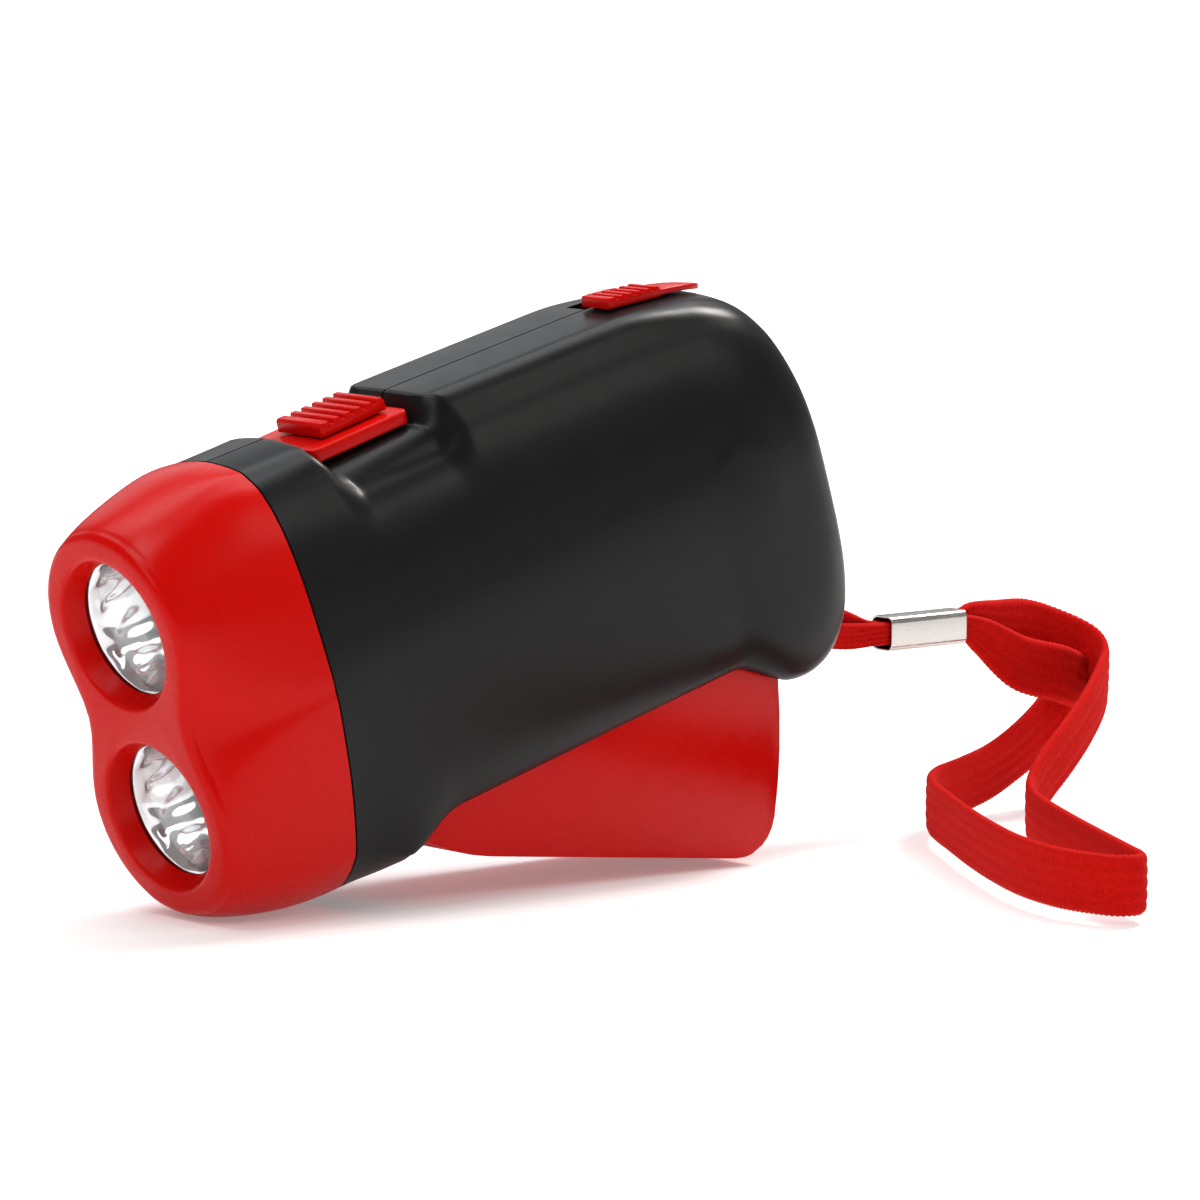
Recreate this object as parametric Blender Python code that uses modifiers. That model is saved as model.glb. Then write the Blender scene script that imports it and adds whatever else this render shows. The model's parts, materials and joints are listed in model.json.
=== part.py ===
"""Squeeze-lever dynamo torch with two lamps, a thumb switch, a lever lock and a wrist strap.

The body frame has its origin between the two lamps on the plane of their rims: x runs to the rear,
z up and y away from the side with the screw-free housing half. The finished torch stands nose down
on the bottom of its head and on the rear corner of its lever, as it does on a table.
"""

from math import acos, asin, atan2, cos, hypot, pi, radians, sin, sqrt, tan

import bmesh
import bpy
from mathutils import Matrix, Vector

mm = 0.001

# Clearances between pieces
GAP = 0.3 * mm
RUNNING_GAP = 0.35 * mm
OVERRUN = 3.0 * mm
WELD = 0.001 * mm
NUDGE = 0.013 * mm
NUDGES = 6

# Housing shell, two halves split on the plane y = 0
JOINT_X = 22.4 * mm
REAR_X = 116.0 * mm
TOP_Z = 29.5 * mm
CHIN_Z = 30.5 * mm
LIP_Z = 23.9 * mm
HEEL_Z = 31.0 * mm
HALF_THICK = 16.5 * mm
NECK_HALF_THICK = 15.0 * mm
NECK_END_X = 46.0 * mm
WALL = 1.8 * mm
TOP_FALL = 2.6 * mm
TOP_FALL_START_X = 58.0 * mm
TOP_FALL_END_X = 96.5 * mm
CORE_END_X = 90.0 * mm

# Rounding of the housing: how far the outline draws in at each share of the half thickness
TOP_ROUND = 16.0 * mm
REAR_ROUND = 15.0 * mm
LIP_ROUND = 11.0 * mm
RING_Y_SHARES = (0.0, 0.30, 0.485, 0.636, 0.776, 0.885, 0.957, 1.0)
TOP_ROUND_SHARES = (0.0, 0.006, 0.044, 0.125, 0.256, 0.44, 0.675, 1.0)
REAR_ROUND_SHARES = (0.0, 0.003, 0.033, 0.093, 0.20, 0.373, 0.613, 1.0)
LIP_ROUND_SHARES = (0.0, 0.0, 0.009, 0.036, 0.118, 0.29, 0.56, 1.0)

# Side view of the housing behind the flat top, as shares of REAR_X, and of TOP_Z or HEEL_Z
REAR_TOP_SHARES = ((0.875, 0.858), (0.918, 0.750), (0.955, 0.580), (0.983, 0.345), (0.9966, 0.10))
REAR_LOW_SHARES = ((1.0, -0.13), (0.9966, -0.42), (0.987, -0.65), (0.968, -0.83), (0.935, -0.955),
                   (0.897, -1.0), (0.858, -0.985), (0.828, -0.93), (0.802, -0.845))
LIP_REAR_X = 90.0 * mm
LIP_FRONT_X = 40.0 * mm
CHIN_SHARES = ((0.316, -0.805), (0.295, -0.866), (0.273, -0.942), (0.248, -0.99))

# Dip in the top of the housing that takes the switch plate
DIP_FRONT_X = 30.7 * mm
DIP_REAR_X = 50.9 * mm
DIP_DEPTH = 4.1 * mm
DIP_RAMP = 1.6 * mm
DIP_FADE_SHARES = (1.0, 1.0, 1.0, 0.95, 0.8, 0.5, 0.2, 0.0)
DIP_INNER_FADE_SHARES = (1.0, 1.0, 1.0, 1.0, 0.95, 0.8, 0.5, 0.0)

# Lever opening, strap slot and lock slot in the housing
LEVER_OPENING_FRONT_X = 29.8 * mm
SLOT_FRONT_X = 104.0 * mm
SLOT_LOW_Z = -29.2 * mm
SLOT_HIGH_Z = -19.8 * mm
SLOT_HALF_WIDTH = 5.2 * mm
STRAP_POST_X = 108.3 * mm
STRAP_POST_Z = -24.0 * mm
STRAP_POST_RADIUS = 1.5 * mm

# Head bezel
RIM_RADIUS = 10.5 * mm
LAMP_SPACING = 25.74 * mm
LOBE_RADIUS = 13.5 * mm
WAIST_HALF = 11.2 * mm
HEAD_LIP = 1.7 * mm
HEAD_FULL_X = 1.3 * mm
HEAD_WALL = 1.8 * mm
HEAD_SWELL_SHARE = 0.75
LOBE_ANGLES = (90.0, 72.0, 60.0, 48.0, 36.0, 22.0, 5.0, -18.0)
WINDOW_RADIUS = 9.2 * mm
WINDOW_DEPTH = 2.9 * mm
LAMP_BORE = 10.1 * mm
LAMP_TUBE_RADIUS = 12.2 * mm
LAMP_TUBE_END_X = 14.0 * mm

# Lamps
LENS_THICK = 1.2 * mm
REFLECTOR_WALL = 0.7 * mm
REFLECTOR_THROAT = 3.1 * mm
REFLECTOR_END_X = 12.6 * mm
LED_RADIUS = 2.5 * mm
LED_FLANGE = 2.9 * mm
LED_LENGTH = 6.8 * mm
LED_FLANGE_THICK = 1.0 * mm
LED_LEAD_RADIUS = 0.3 * mm
BOARD_THICK = 1.2 * mm
LED_BOARD_HALF_WIDTH = 9.0 * mm
LED_BOARD_HALF_HEIGHT = 20.0 * mm

# Squeeze lever, which swings on a pin in the chin of the housing
PIVOT_X = 27.0 * mm
PIVOT_Z = -17.0 * mm
LEVER_SWING = radians(21.0)
LEVER_HALF_WIDTH = 11.5 * mm
LEVER_WALL = 2.0 * mm
LEVER_REACH = 73.2 * mm
LEVER_FACE_DROP = 9.8 * mm
LEVER_REST_ANGLE = radians(22.4)
LEVER_TOP_ANGLE = radians(2.8)
LEVER_CORNER = 6.5 * mm
LEVER_NOSE_RADIUS = 4.6 * mm
LEVER_EDGE = 0.8 * mm
LEVER_SIDE_GAP = 0.5 * mm
LEVER_TIP_GAP = 0.6 * mm
PIN_RADIUS = 1.5 * mm
PIN_EMBED = 1.6 * mm
BOSS_WALL = 1.6 * mm

# Gear train: toothed sector on the lever, two compound gears and the rotor pinion
SECTOR_MODULE = 1.0 * mm
SECTOR_TEETH = 68
PINION_TEETH = 12
DRIVE_WHEEL_MODULE = 0.6 * mm
SECOND_WHEEL_MODULE = 0.5 * mm
WHEEL_TEETH = 40
MESH_ANGLE_1 = radians(26.0)
MESH_ANGLE_2 = radians(35.0)
MESH_ANGLE_3 = radians(25.0)
SECTOR_HALF_WIDTH = 2.0 * mm
SECTOR_SPARE_ANGLE = radians(4.5)
SECTOR_RIM = 5.0 * mm
PINION_HALF_WIDTH = 2.2 * mm
WHEEL_THICK = 2.0 * mm
LAYER_GAP = 0.4 * mm
SHAFT_RADIUS = 1.0 * mm
ROTOR_SHAFT_RADIUS = 0.8 * mm
SHAFT_EMBED = 2.6 * mm
ADDENDUM_SHARE = 0.85
DEDENDUM_SHARE = 1.15
TIP_SHARE = 0.42
ROOT_SHARE = 1.35

# Generator
FLYWHEEL_RADIUS = 8.6 * mm
FLYWHEEL_THICK = 3.6 * mm
FLYWHEEL_RIM = 2.2 * mm
FLYWHEEL_WEB = 1.4 * mm
MAGNET_RADIUS = 5.6 * mm
STATOR_RADIUS = 8.8 * mm
STATOR_BORE = 6.2 * mm
STATOR_PLATE_THICK = 1.0 * mm
COIL_THICK = 1.9 * mm
POLE_COUNT = 8
POLE_DEPTH = 1.4 * mm

# Return spring round the lever pin
SPRING_RADIUS = 2.5 * mm
SPRING_WIRE = 0.35 * mm
SPRING_TURNS = 3.31
SPRING_START_Y = 3.4 * mm
SPRING_PITCH = 1.15 * mm
SPRING_LEG = 9.0 * mm
SPRING_HOUSING_LEG = 4.5 * mm

# Electronics
PCB_FRONT_X = 25.0 * mm
PCB_REAR_X = 46.0 * mm
PCB_Z = 14.2 * mm
PCB_HALF_WIDTH = 11.0 * mm
BATTERY_X = 34.6 * mm
BATTERY_Z = 6.0 * mm
CELL_RADIUS = 5.6 * mm
CELL_LENGTH = 5.0 * mm
CELL_COUNT = 3
CELL_STEP = 0.5 * mm
CONTACT_THICK = 0.5 * mm
CONTACT_HALF_SIDE = 4.0 * mm

# Switch
PLATE_HALF_WIDTH = 7.3 * mm
PLATE_TOP_Z = 27.5 * mm
PLATE_CORNER = 3.0 * mm
PLATE_SLOT_HALF_WIDTH = 1.8 * mm
BUTTON_FRONT_X = 35.2 * mm
BUTTON_LENGTH = 12.8 * mm
BUTTON_HALF_WIDTH = 4.8 * mm
BUTTON_HEIGHT = 2.3 * mm
BUTTON_TRAVEL = 3.0 * mm
BUTTON_RIBS = 5
BUTTON_RIB_DEPTH = 0.7 * mm
BUTTON_STEM_HALF_LENGTH = 2.0 * mm
BUTTON_STEM_HALF_WIDTH = 1.3 * mm
SWITCH_BODY_HALF_LENGTH = 5.6 * mm
SWITCH_BODY_HALF_WIDTH = 3.4 * mm
SWITCH_BODY_HEIGHT = 4.6 * mm

# Lever lock
LOCK_X = 83.6 * mm
LOCK_TILT = radians(7.0)
LOCK_LIFT = 0.45 * mm
LOCK_BLOCK_LENGTH = 12.0 * mm
LOCK_BEAK_LENGTH = 8.5 * mm
LOCK_HALF_WIDTH = 4.6 * mm
LOCK_HEIGHT = 2.2 * mm
LOCK_BEAK_HEIGHT = 0.9 * mm
LOCK_RIBS = 4
LOCK_TRAVEL = 4.0 * mm
LOCK_SLOT_HALF_WIDTH = 2.0 * mm
LOCK_STEM_HALF_WIDTH = 1.6 * mm
LOCK_STEM_LENGTH = 7.0 * mm
LOCK_FOOT_HALF_WIDTH = 4.0 * mm
LOCK_FOOT_THICK = 1.0 * mm
LOCK_LEG_X = 103.0 * mm
LOCK_LEG_THICK = 1.8 * mm
LOCK_HOOK_Z = 1.0 * mm
LOCK_HOOK_HEIGHT = 2.2 * mm
LOCK_HOOK_LENGTH = 3.2 * mm
LOCK_WINDOW_SPARE = 1.2 * mm

# Screws, driven from the far side
SCREW_PLACES = ((29.2 * mm, 18.8 * mm), (62.0 * mm, 20.0 * mm), (107.6 * mm, 8.0 * mm), (104.0 * mm, -13.0 * mm))
SCREW_RADIUS = 1.1 * mm
SCREW_HEAD_RADIUS = 2.2 * mm
SCREW_HEAD_HEIGHT = 1.4 * mm
SCREW_HEAD_SINK = 2.6 * mm
SCREW_BITE = 6.0 * mm
SCREW_BOSS_RADIUS = 2.9 * mm

# Wrist strap and its ferrule, in the standing frame: x from the body's origin, height above the floor
STRAP_WIDTH = 8.4 * mm
STRAP_THICK = 1.5 * mm
FERRULE_X = 139.3 * mm
FERRULE_HEIGHT = 27.0 * mm
FERRULE_LENGTH = 14.4 * mm
FERRULE_HALF_HEIGHT = 2.5 * mm
FERRULE_HALF_WIDTH = 2.2 * mm
FERRULE_WALL = 0.3 * mm
FERRULE_ROUND = 1.0 * mm

# Route of the strap in mm: x, y, height above the floor, width share, turn of the width from upright in degrees
STRAP_ROUTE = (
    (111.4, 0.0, 35.5, 0.60, 90), (114.0, 0.0, 35.0, 0.60, 84), (117.2, 0.2, 33.1, 0.58, 66),
    (121.0, 0.5, 30.4, 0.56, 44), (125.4, 0.75, 28.7, 0.50, 22), (130.0, 0.85, 27.3, 0.41, 4),
    (135.0, 0.85, 27.0, 0.39, 0), (140.0, 0.85, 27.0, 0.39, 0), (146.4, 0.85, 27.0, 0.40, 0),
    (150.0, 1.2, 27.3, 0.66, 0), (156.4, 2.2, 27.6, 0.95, 0), (162.5, 3.2, 26.9, 1.0, 0),
    (167.8, 2.9, 25.2, 1.0, 0), (171.6, 0.2, 22.6, 1.0, 0), (171.4, -4.2, 20.2, 1.0, 0),
    (166.6, -8.8, 17.6, 1.0, 0), (159.6, -13.4, 14.6, 1.0, 0), (152.0, -17.4, 11.4, 1.0, 0),
    (144.6, -20.6, 8.0, 1.0, 0), (139.2, -23.8, 5.4, 1.0, 0), (134.6, -29.2, 4.5, 1.0, 0),
    (128.7, -38.2, 4.5, 1.0, 0), (121.0, -52.1, 4.5, 1.0, 0), (113.7, -66.2, 4.5, 1.0, 0),
    (108.9, -75.6, 4.5, 1.0, 0), (106.4, -80.4, 4.5, 1.0, 0), (104.0, -82.0, 4.5, 1.0, 0),
    (101.6, -80.9, 4.5, 1.0, 0), (100.4, -77.4, 4.5, 1.0, 0), (100.2, -70.5, 4.5, 1.0, 0),
    (103.0, -60.6, 4.5, 1.0, 0), (108.2, -49.6, 4.5, 1.0, 0), (114.6, -38.0, 4.5, 1.0, 0),
    (122.2, -25.4, 4.5, 1.0, 0), (129.0, -14.6, 4.5, 1.0, 0), (136.6, -6.4, 4.5, 1.0, 0),
    (146.4, -1.4, 4.7, 1.0, 0), (154.6, 1.4, 5.7, 1.0, 0), (162.4, 3.6, 8.0, 1.0, 0),
    (169.0, 4.6, 11.2, 1.0, 0), (172.2, 2.6, 14.6, 1.0, 0), (170.4, -0.8, 17.2, 1.0, 0),
    (164.8, -2.2, 19.4, 1.0, 0), (157.4, -1.8, 22.2, 0.95, 0), (150.6, -1.1, 25.2, 0.66, 0),
    (146.4, -0.85, 27.0, 0.40, 0), (140.0, -0.85, 27.0, 0.39, 0), (135.0, -0.85, 27.0, 0.39, 0),
    (130.0, -0.85, 27.1, 0.41, -4), (125.2, -0.8, 27.2, 0.50, -22), (120.4, -0.5, 27.8, 0.56, -44),
    (116.6, -0.2, 29.2, 0.58, -66), (113.6, 0.0, 30.3, 0.60, -84), (111.4, 0.0, 30.4, 0.60, -90),
)

# Values worked out from those above
PRESS_GAP = GAP / 2
PIN_BOSS_Y = LEVER_HALF_WIDTH + LEVER_SIDE_GAP
GEAR_1_REACH = SECTOR_MODULE * (SECTOR_TEETH + PINION_TEETH) / 2
GEAR_2_REACH = DRIVE_WHEEL_MODULE * (WHEEL_TEETH + PINION_TEETH) / 2
GEAR_3_REACH = SECOND_WHEEL_MODULE * (WHEEL_TEETH + PINION_TEETH) / 2
GEAR_1 = (PIVOT_X + GEAR_1_REACH * cos(MESH_ANGLE_1), PIVOT_Z + GEAR_1_REACH * sin(MESH_ANGLE_1))
GEAR_2 = (GEAR_1[0] + GEAR_2_REACH * cos(MESH_ANGLE_2), GEAR_1[1] + GEAR_2_REACH * sin(MESH_ANGLE_2))
GEAR_3 = (GEAR_2[0] + GEAR_3_REACH * cos(MESH_ANGLE_3), GEAR_2[1] + GEAR_3_REACH * sin(MESH_ANGLE_3))
WHEEL_1_Y = PINION_HALF_WIDTH + LAYER_GAP
WHEEL_2_Y = -5.3 * mm
FLYWHEEL_Y = -2.3 * mm
STATOR_Y = 5.0 * mm
STATOR_END_Y = 9.5 * mm
DRIVE_BOSS_NEAR_Y = PINION_HALF_WIDTH + LAYER_GAP
DRIVE_BOSS_FAR_Y = WHEEL_1_Y + WHEEL_THICK + LAYER_GAP
SECOND_BOSS_NEAR_Y = LAYER_GAP - WHEEL_2_Y
SECOND_BOSS_FAR_Y = DRIVE_BOSS_FAR_Y
ROTOR_BOSS_NEAR_Y = SECOND_BOSS_NEAR_Y
ROTOR_BOSS_FAR_Y = STATOR_END_Y + LAYER_GAP
HUB_WALL = 0.9 * mm
WHEEL_HOLE_REACH = 7.4 * mm
WHEEL_HOLE_RADIUS = 2.2 * mm
WHEEL_HOLE_TURNS = tuple(k * pi / 2 for k in range(4))
ROTOR_HUB_RADIUS = 1.7 * mm
COIL_INSET = 0.5 * mm
COIL_BORE = 6.8 * mm
STATOR_POST_REACH = 7.4 * mm
STATOR_POST_RADIUS = 1.1 * mm
STATOR_POST_TURNS = tuple(radians(angle) for angle in (70.0, 190.0, 310.0))
LENS_X = WINDOW_DEPTH + GAP
REFLECTOR_X = LENS_X + LENS_THICK + GAP
REFLECTOR_STEPS = 4
REFLECTOR_CURVE = 1.8
LED_BOARD_X = LAMP_TUBE_END_X + 2 * GAP
HEAD_LENGTH = JOINT_X - GAP / 2 - HEAD_FULL_X
LEVER_OPENING_TOP_Z = -18.0 * mm
LEVER_NOSE_ANGLE = radians(39.0)
LEVER_HEEL_ROUND = 5.0 * mm
LEVER_HEEL_SHARES = ((-1.0, 0.298), (-0.333, 0.132), (0.333, 0.033), (1.0, 0.0))
LEVER_OPEN_ANGLE = radians(10.0)
LEVER_INNER_START = 5
SECTOR_FOOT_RUN = 30.0 * mm
SPRING_BORE = 3.3 * mm
SPRING_STEPS = 28
BUTTON_MIDDLE_X = BUTTON_FRONT_X + BUTTON_LENGTH / 2
SWITCH_TRACK_DEPTH = 2.2 * mm
PLATE_EDGE = 0.4 * mm
RIB_GAP_SHARE = 0.3
RIB_TOP_SHARE = 0.85
BATTERY_STOP_Y = CELL_COUNT * CELL_LENGTH / 2 + CONTACT_THICK + 2 * GAP
PCB_POST_RADIUS = 1.4 * mm
PCB_POST_Y = PCB_HALF_WIDTH - 1.5 * mm
PCB_POST_PLACES = ((31.0 * mm, 12.3 * mm), (42.0 * mm, 12.3 * mm))
LOCK_STEM_RUN = 7.5 * mm
LOCK_STEM_X = LOCK_X + LOCK_STEM_RUN
LOCK_RIB_DEPTH = 0.7 * mm
LOCK_LEAD_LENGTH = 2.6 * mm
LOCK_BEAK_SHARES = ((0.0, 0.96, 1.0), (0.55, 0.82, 0.55), (0.85, 0.5, 0.2), (1.0, 0.2, 0.0))
LOCK_FOOT_RISE = -2.75 * mm
LOCK_FOOT_LENGTH = 5.0 * mm
LOCK_ARM_RUN = 5.5 * mm
LOCK_ELBOW_Z = 19.0 * mm
LOCK_WINDOW_ANGLE = asin((LOCK_HOOK_Z + LOCK_TRAVEL * sin(LOCK_TILT) - PIVOT_Z) / LEVER_REACH)
LOCK_WINDOW_HALF_ANGLE = (LOCK_HOOK_HEIGHT / 2 + LOCK_WINDOW_SPARE) / LEVER_REACH
LOCK_WINDOW_LOW = LOCK_WINDOW_ANGLE - LOCK_WINDOW_HALF_ANGLE
LOCK_WINDOW_HIGH = LOCK_WINDOW_ANGLE + LOCK_WINDOW_HALF_ANGLE
LOCK_WINDOW_HALF_WIDTH = LOCK_STEM_HALF_WIDTH + 3 * GAP
SCREW_SLOT_DEPTH = 0.7 * mm
SCREW_SEATS = {}
STRAP_STEPS = 2
STRAP_EDGE_SHARE = 0.5
STRAP_POST_ROOT_Y = 10.4 * mm
STRAP_POST_END_Y = 6.6 * mm
STRAP_POST_ANGLES = (250.0, 215.0, 180.0, 145.0, 110.0)
BISECTIONS = 40

# Finish of each material: colour, roughness and metallic share
RED = ((0.66, 0.012, 0.006), 0.32, 0.0)
BLACK = ((0.018, 0.018, 0.019), 0.45, 0.0)
CHROME = ((0.85, 0.85, 0.87), 0.12, 1.0)
CLEAR = ((0.92, 0.95, 0.95), 0.05, 0.0)
LAMP = ((0.88, 0.9, 0.82), 0.15, 0.0)
BOARD = ((0.02, 0.16, 0.05), 0.5, 0.0)
STEEL = ((0.55, 0.56, 0.58), 0.3, 1.0)
BRASS = ((0.72, 0.5, 0.18), 0.3, 1.0)
NYLON = ((0.85, 0.84, 0.78), 0.45, 0.0)
MAGNET = ((0.09, 0.09, 0.1), 0.5, 0.3)
COPPER = ((0.6, 0.22, 0.07), 0.4, 0.8)
BRAID = ((0.6, 0.02, 0.012), 0.7, 0.0)

PARTS = "squeeze_dynamo_torch"
GUIDES = "guides"


def smoothstep(share):
    share = min(1.0, max(0.0, share))
    return share * share * (3.0 - 2.0 * share)


def mix(a, b, share):
    return a + (b - a) * share


def polar(radius, angle, centre=(0.0, 0.0)):
    return (centre[0] + radius * cos(angle), centre[1] + radius * sin(angle))


def arc(centre, radius, start, end, steps):
    return [polar(radius, mix(start, end, i / steps), centre) for i in range(steps + 1)]


def curve_through(points, steps):
    """Points on a Catmull-Rom curve through the given points, both ends included."""
    ends = [points[0]] + list(points) + [points[-1]]
    found = []
    for i in range(1, len(ends) - 2):
        for j in range(steps):
            t = j / steps
            found.append(tuple(
                (2 * b + (c - a) * t + (2 * a - 5 * b + 4 * c - d) * t**2 + (3 * b - a - 3 * c + d) * t**3) / 2
                for a, b, c, d in zip(ends[i - 1], ends[i], ends[i + 1], ends[i + 2])))
    return found + [tuple(points[-1])]


# Scene and objects

def clear_scene():
    for obj in list(bpy.data.objects):
        bpy.data.objects.remove(obj)


def collection(name):
    made = bpy.data.collections.new(name)
    bpy.context.scene.collection.children.link(made)
    return made


def new_object(name, mesh):
    obj = bpy.data.objects.new(name, mesh)
    bpy.data.collections[PARTS].objects.link(obj)
    return obj


def from_faces(name, points, faces):
    mesh = bpy.data.meshes.new(name)
    mesh.from_pydata(points, [], faces)
    mesh.update()
    return new_object(name, mesh)


def from_bmesh(name, bm):
    mesh = bpy.data.meshes.new(name)
    bm.to_mesh(mesh)
    bm.free()
    return new_object(name, mesh)


def settle(obj):
    """Makes the object's curve or modifiers into its mesh, with the loose caps welded."""
    graph = bpy.context.evaluated_depsgraph_get()
    mesh = bpy.data.meshes.new_from_object(obj.evaluated_get(graph), depsgraph=graph)
    bm = bmesh.new()
    bm.from_mesh(mesh)
    bmesh.ops.remove_doubles(bm, verts=bm.verts, dist=WELD)
    bm.to_mesh(mesh)
    bm.free()
    if obj.type == "MESH":
        obj.modifiers.clear()
        obj.data = mesh
        return obj
    name = obj.name
    place = obj.matrix_world.copy()
    bpy.data.objects.remove(obj)
    mesh.transform(place)
    return new_object(name, mesh)


def volume(mesh):
    bm = bmesh.new()
    bm.from_mesh(mesh)
    found = bm.calc_volume(signed=True)
    bm.free()
    return found


def combine(target, tools, operation):
    """Joins or cuts with each tool. Where faces that lie in one plane spoil the result, the tool is nudged."""
    for tool in tools:
        whole = target.data
        expected = volume(whole) / 2
        for _ in range(NUDGES):
            target.data = whole
            modifier = target.modifiers.new(operation.lower(), "BOOLEAN")
            modifier.operation = operation
            modifier.solver = "EXACT"
            modifier.object = tool
            settle(target)
            if volume(target.data) > expected:
                break
            tool.data.transform(Matrix.Translation((NUDGE, NUDGE, NUDGE)))
        bpy.data.objects.remove(tool)
    return target


def cut(target, *tools):
    return combine(target, tools, "DIFFERENCE")


def join(target, *tools):
    return combine(target, tools, "UNION")


def bevelled(obj, width, segments=2, angle=radians(40.0)):
    modifier = obj.modifiers.new("edge", "BEVEL")
    modifier.width = width
    modifier.segments = segments
    modifier.limit_method = "ANGLE"
    modifier.angle_limit = angle
    return settle(obj)


def box(name, low, high):
    bm = bmesh.new()
    bmesh.ops.create_cube(bm, size=1.0)
    size = [b - a for a, b in zip(low, high)]
    middle = [(a + b) / 2 for a, b in zip(low, high)]
    bmesh.ops.scale(bm, vec=size, verts=bm.verts)
    bmesh.ops.translate(bm, vec=middle, verts=bm.verts)
    return from_bmesh(name, bm)


def cone(name, centre, start, end, radius, end_radius, axis="Y", segments=20):
    """A round piece along y (or x) from start to end, at centre = its other two coordinates."""
    bm = bmesh.new()
    bmesh.ops.create_cone(bm, cap_ends=True, segments=segments, radius1=radius, radius2=end_radius,
                          depth=end - start)
    turn = Matrix.Rotation(-pi / 2, 4, "X") if axis == "Y" else Matrix.Rotation(pi / 2, 4, "Y")
    bmesh.ops.transform(bm, matrix=turn, verts=bm.verts)
    middle = (start + end) / 2
    place = (centre[0], middle, centre[1]) if axis == "Y" else (middle, centre[0], centre[1])
    bmesh.ops.translate(bm, vec=place, verts=bm.verts)
    return from_bmesh(name, bm)


def rod(name, centre, start, end, radius, axis="Y", segments=20):
    return cone(name, centre, start, end, radius, radius, axis, segments)


def slab(name, outlines, start, end, axis="Y"):
    """Flat outlines in (x, z) extruded along y, or in (y, z) along x, or in (x, y) along z."""
    curve = bpy.data.curves.new(name, "CURVE")
    curve.dimensions = "2D"
    curve.fill_mode = "BOTH"
    curve.extrude = (end - start) / 2
    for outline in outlines:
        spline = curve.splines.new("POLY")
        spline.points.add(len(outline) - 1)
        for point, (u, v) in zip(spline.points, outline):
            point.co = (u, v, 0.0, 1.0)
        spline.use_cyclic_u = True
    obj = new_object(name, curve)
    middle = (start + end) / 2
    if axis == "Y":
        obj.matrix_world = Matrix.Translation((0.0, middle, 0.0)) @ Matrix.Rotation(pi / 2, 4, "X")
    elif axis == "X":
        turn = Matrix(((0.0, 0.0, 1.0, 0.0), (1.0, 0.0, 0.0, 0.0), (0.0, 1.0, 0.0, 0.0), (0.0, 0.0, 0.0, 1.0)))
        obj.matrix_world = Matrix.Translation((middle, 0.0, 0.0)) @ turn
    else:
        obj.matrix_world = Matrix.Translation((0.0, 0.0, middle))
    bpy.context.view_layer.update()
    return settle(obj)


def turned(name, profile, segments=24):
    """A profile of (radius, x) points, closed, turned about the x axis."""
    bm = bmesh.new()
    points = [bm.verts.new((x, 0.0, radius)) for radius, x in profile]
    for a, b in zip(points, points[1:] + points[:1]):
        bm.edges.new((a, b))
    obj = from_bmesh(name, bm)
    screw = obj.modifiers.new("turn", "SCREW")
    screw.axis = "X"
    screw.steps = segments
    screw.render_steps = segments
    screw.use_merge_vertices = True
    screw.merge_threshold = WELD
    settle(obj)
    outward(obj)
    return obj


def outward(obj):
    bm = bmesh.new()
    bm.from_mesh(obj.data)
    bmesh.ops.recalc_face_normals(bm, faces=bm.faces)
    bm.to_mesh(obj.data)
    bm.free()
    return obj


def moved(obj, offset):
    obj.data.transform(Matrix.Translation(offset))
    return obj


def rounded_box_outline(half_width, half_height, radius, steps=3):
    points = []
    for quarter, (u, v) in enumerate(((1, 1), (-1, 1), (-1, -1), (1, -1))):
        centre = (u * (half_width - radius), v * (half_height - radius))
        start = quarter * pi / 2
        points += arc(centre, radius, start, start + pi / 2, steps)
    return points


def circle_outline(centre, radius, steps=20):
    return arc(centre, radius, 0.0, 2 * pi, steps)[:-1]


# Shape of the housing and head

def deck_height(x):
    run = (x - TOP_FALL_START_X) / (TOP_FALL_END_X - TOP_FALL_START_X)
    return TOP_Z - TOP_FALL * max(0.0, run) ** 2


def dip_depth(x, wider=0.0):
    front = smoothstep((x - DIP_FRONT_X + wider) / DIP_RAMP)
    rear = smoothstep((DIP_REAR_X + wider - x) / DIP_RAMP)
    return DIP_DEPTH * min(front, rear)


def half_thickness(x):
    return mix(NECK_HALF_THICK, HALF_THICK, smoothstep((x - JOINT_X) / (NECK_END_X - JOINT_X)))


def spread(start, end, count):
    return [mix(start, end, i / count) for i in range(count)]


def housing_side():
    """The side view of the housing: points along the top, round the rear and back along the bottom."""
    front = JOINT_X + GAP / 2
    stops = spread(front, DIP_FRONT_X - WALL, 1)
    stops += spread(DIP_FRONT_X - WALL, DIP_FRONT_X, 2)
    stops += spread(DIP_FRONT_X, DIP_FRONT_X + DIP_RAMP, 4)
    stops += spread(DIP_FRONT_X + DIP_RAMP, DIP_REAR_X - DIP_RAMP, 2)
    stops += spread(DIP_REAR_X - DIP_RAMP, DIP_REAR_X, 4)
    stops += spread(DIP_REAR_X, DIP_REAR_X + WALL, 2)
    stops += spread(DIP_REAR_X + WALL, TOP_FALL_END_X, 5) + [TOP_FALL_END_X]
    top = [(x, deck_height(x)) for x in stops]
    rear = [top[-1]]
    rear += [(x * REAR_X, z * TOP_Z) for x, z in REAR_TOP_SHARES]
    rear += [(x * REAR_X, z * HEEL_Z) for x, z in REAR_LOW_SHARES]
    rear += [(LIP_REAR_X, -LIP_Z)]
    rear = curve_through([top[-2]] + rear + [(LIP_REAR_X - NECK_HALF_THICK, -LIP_Z)], 1)[2:-1]
    low = [(x, -LIP_Z) for x in spread(LIP_REAR_X, LIP_FRONT_X, 3)[1:]] + [(LIP_FRONT_X, -LIP_Z)]
    chin = [(x * REAR_X, z * HEEL_Z) for x, z in CHIN_SHARES] + [(front, -CHIN_Z)]
    return top + rear + low + chin


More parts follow.
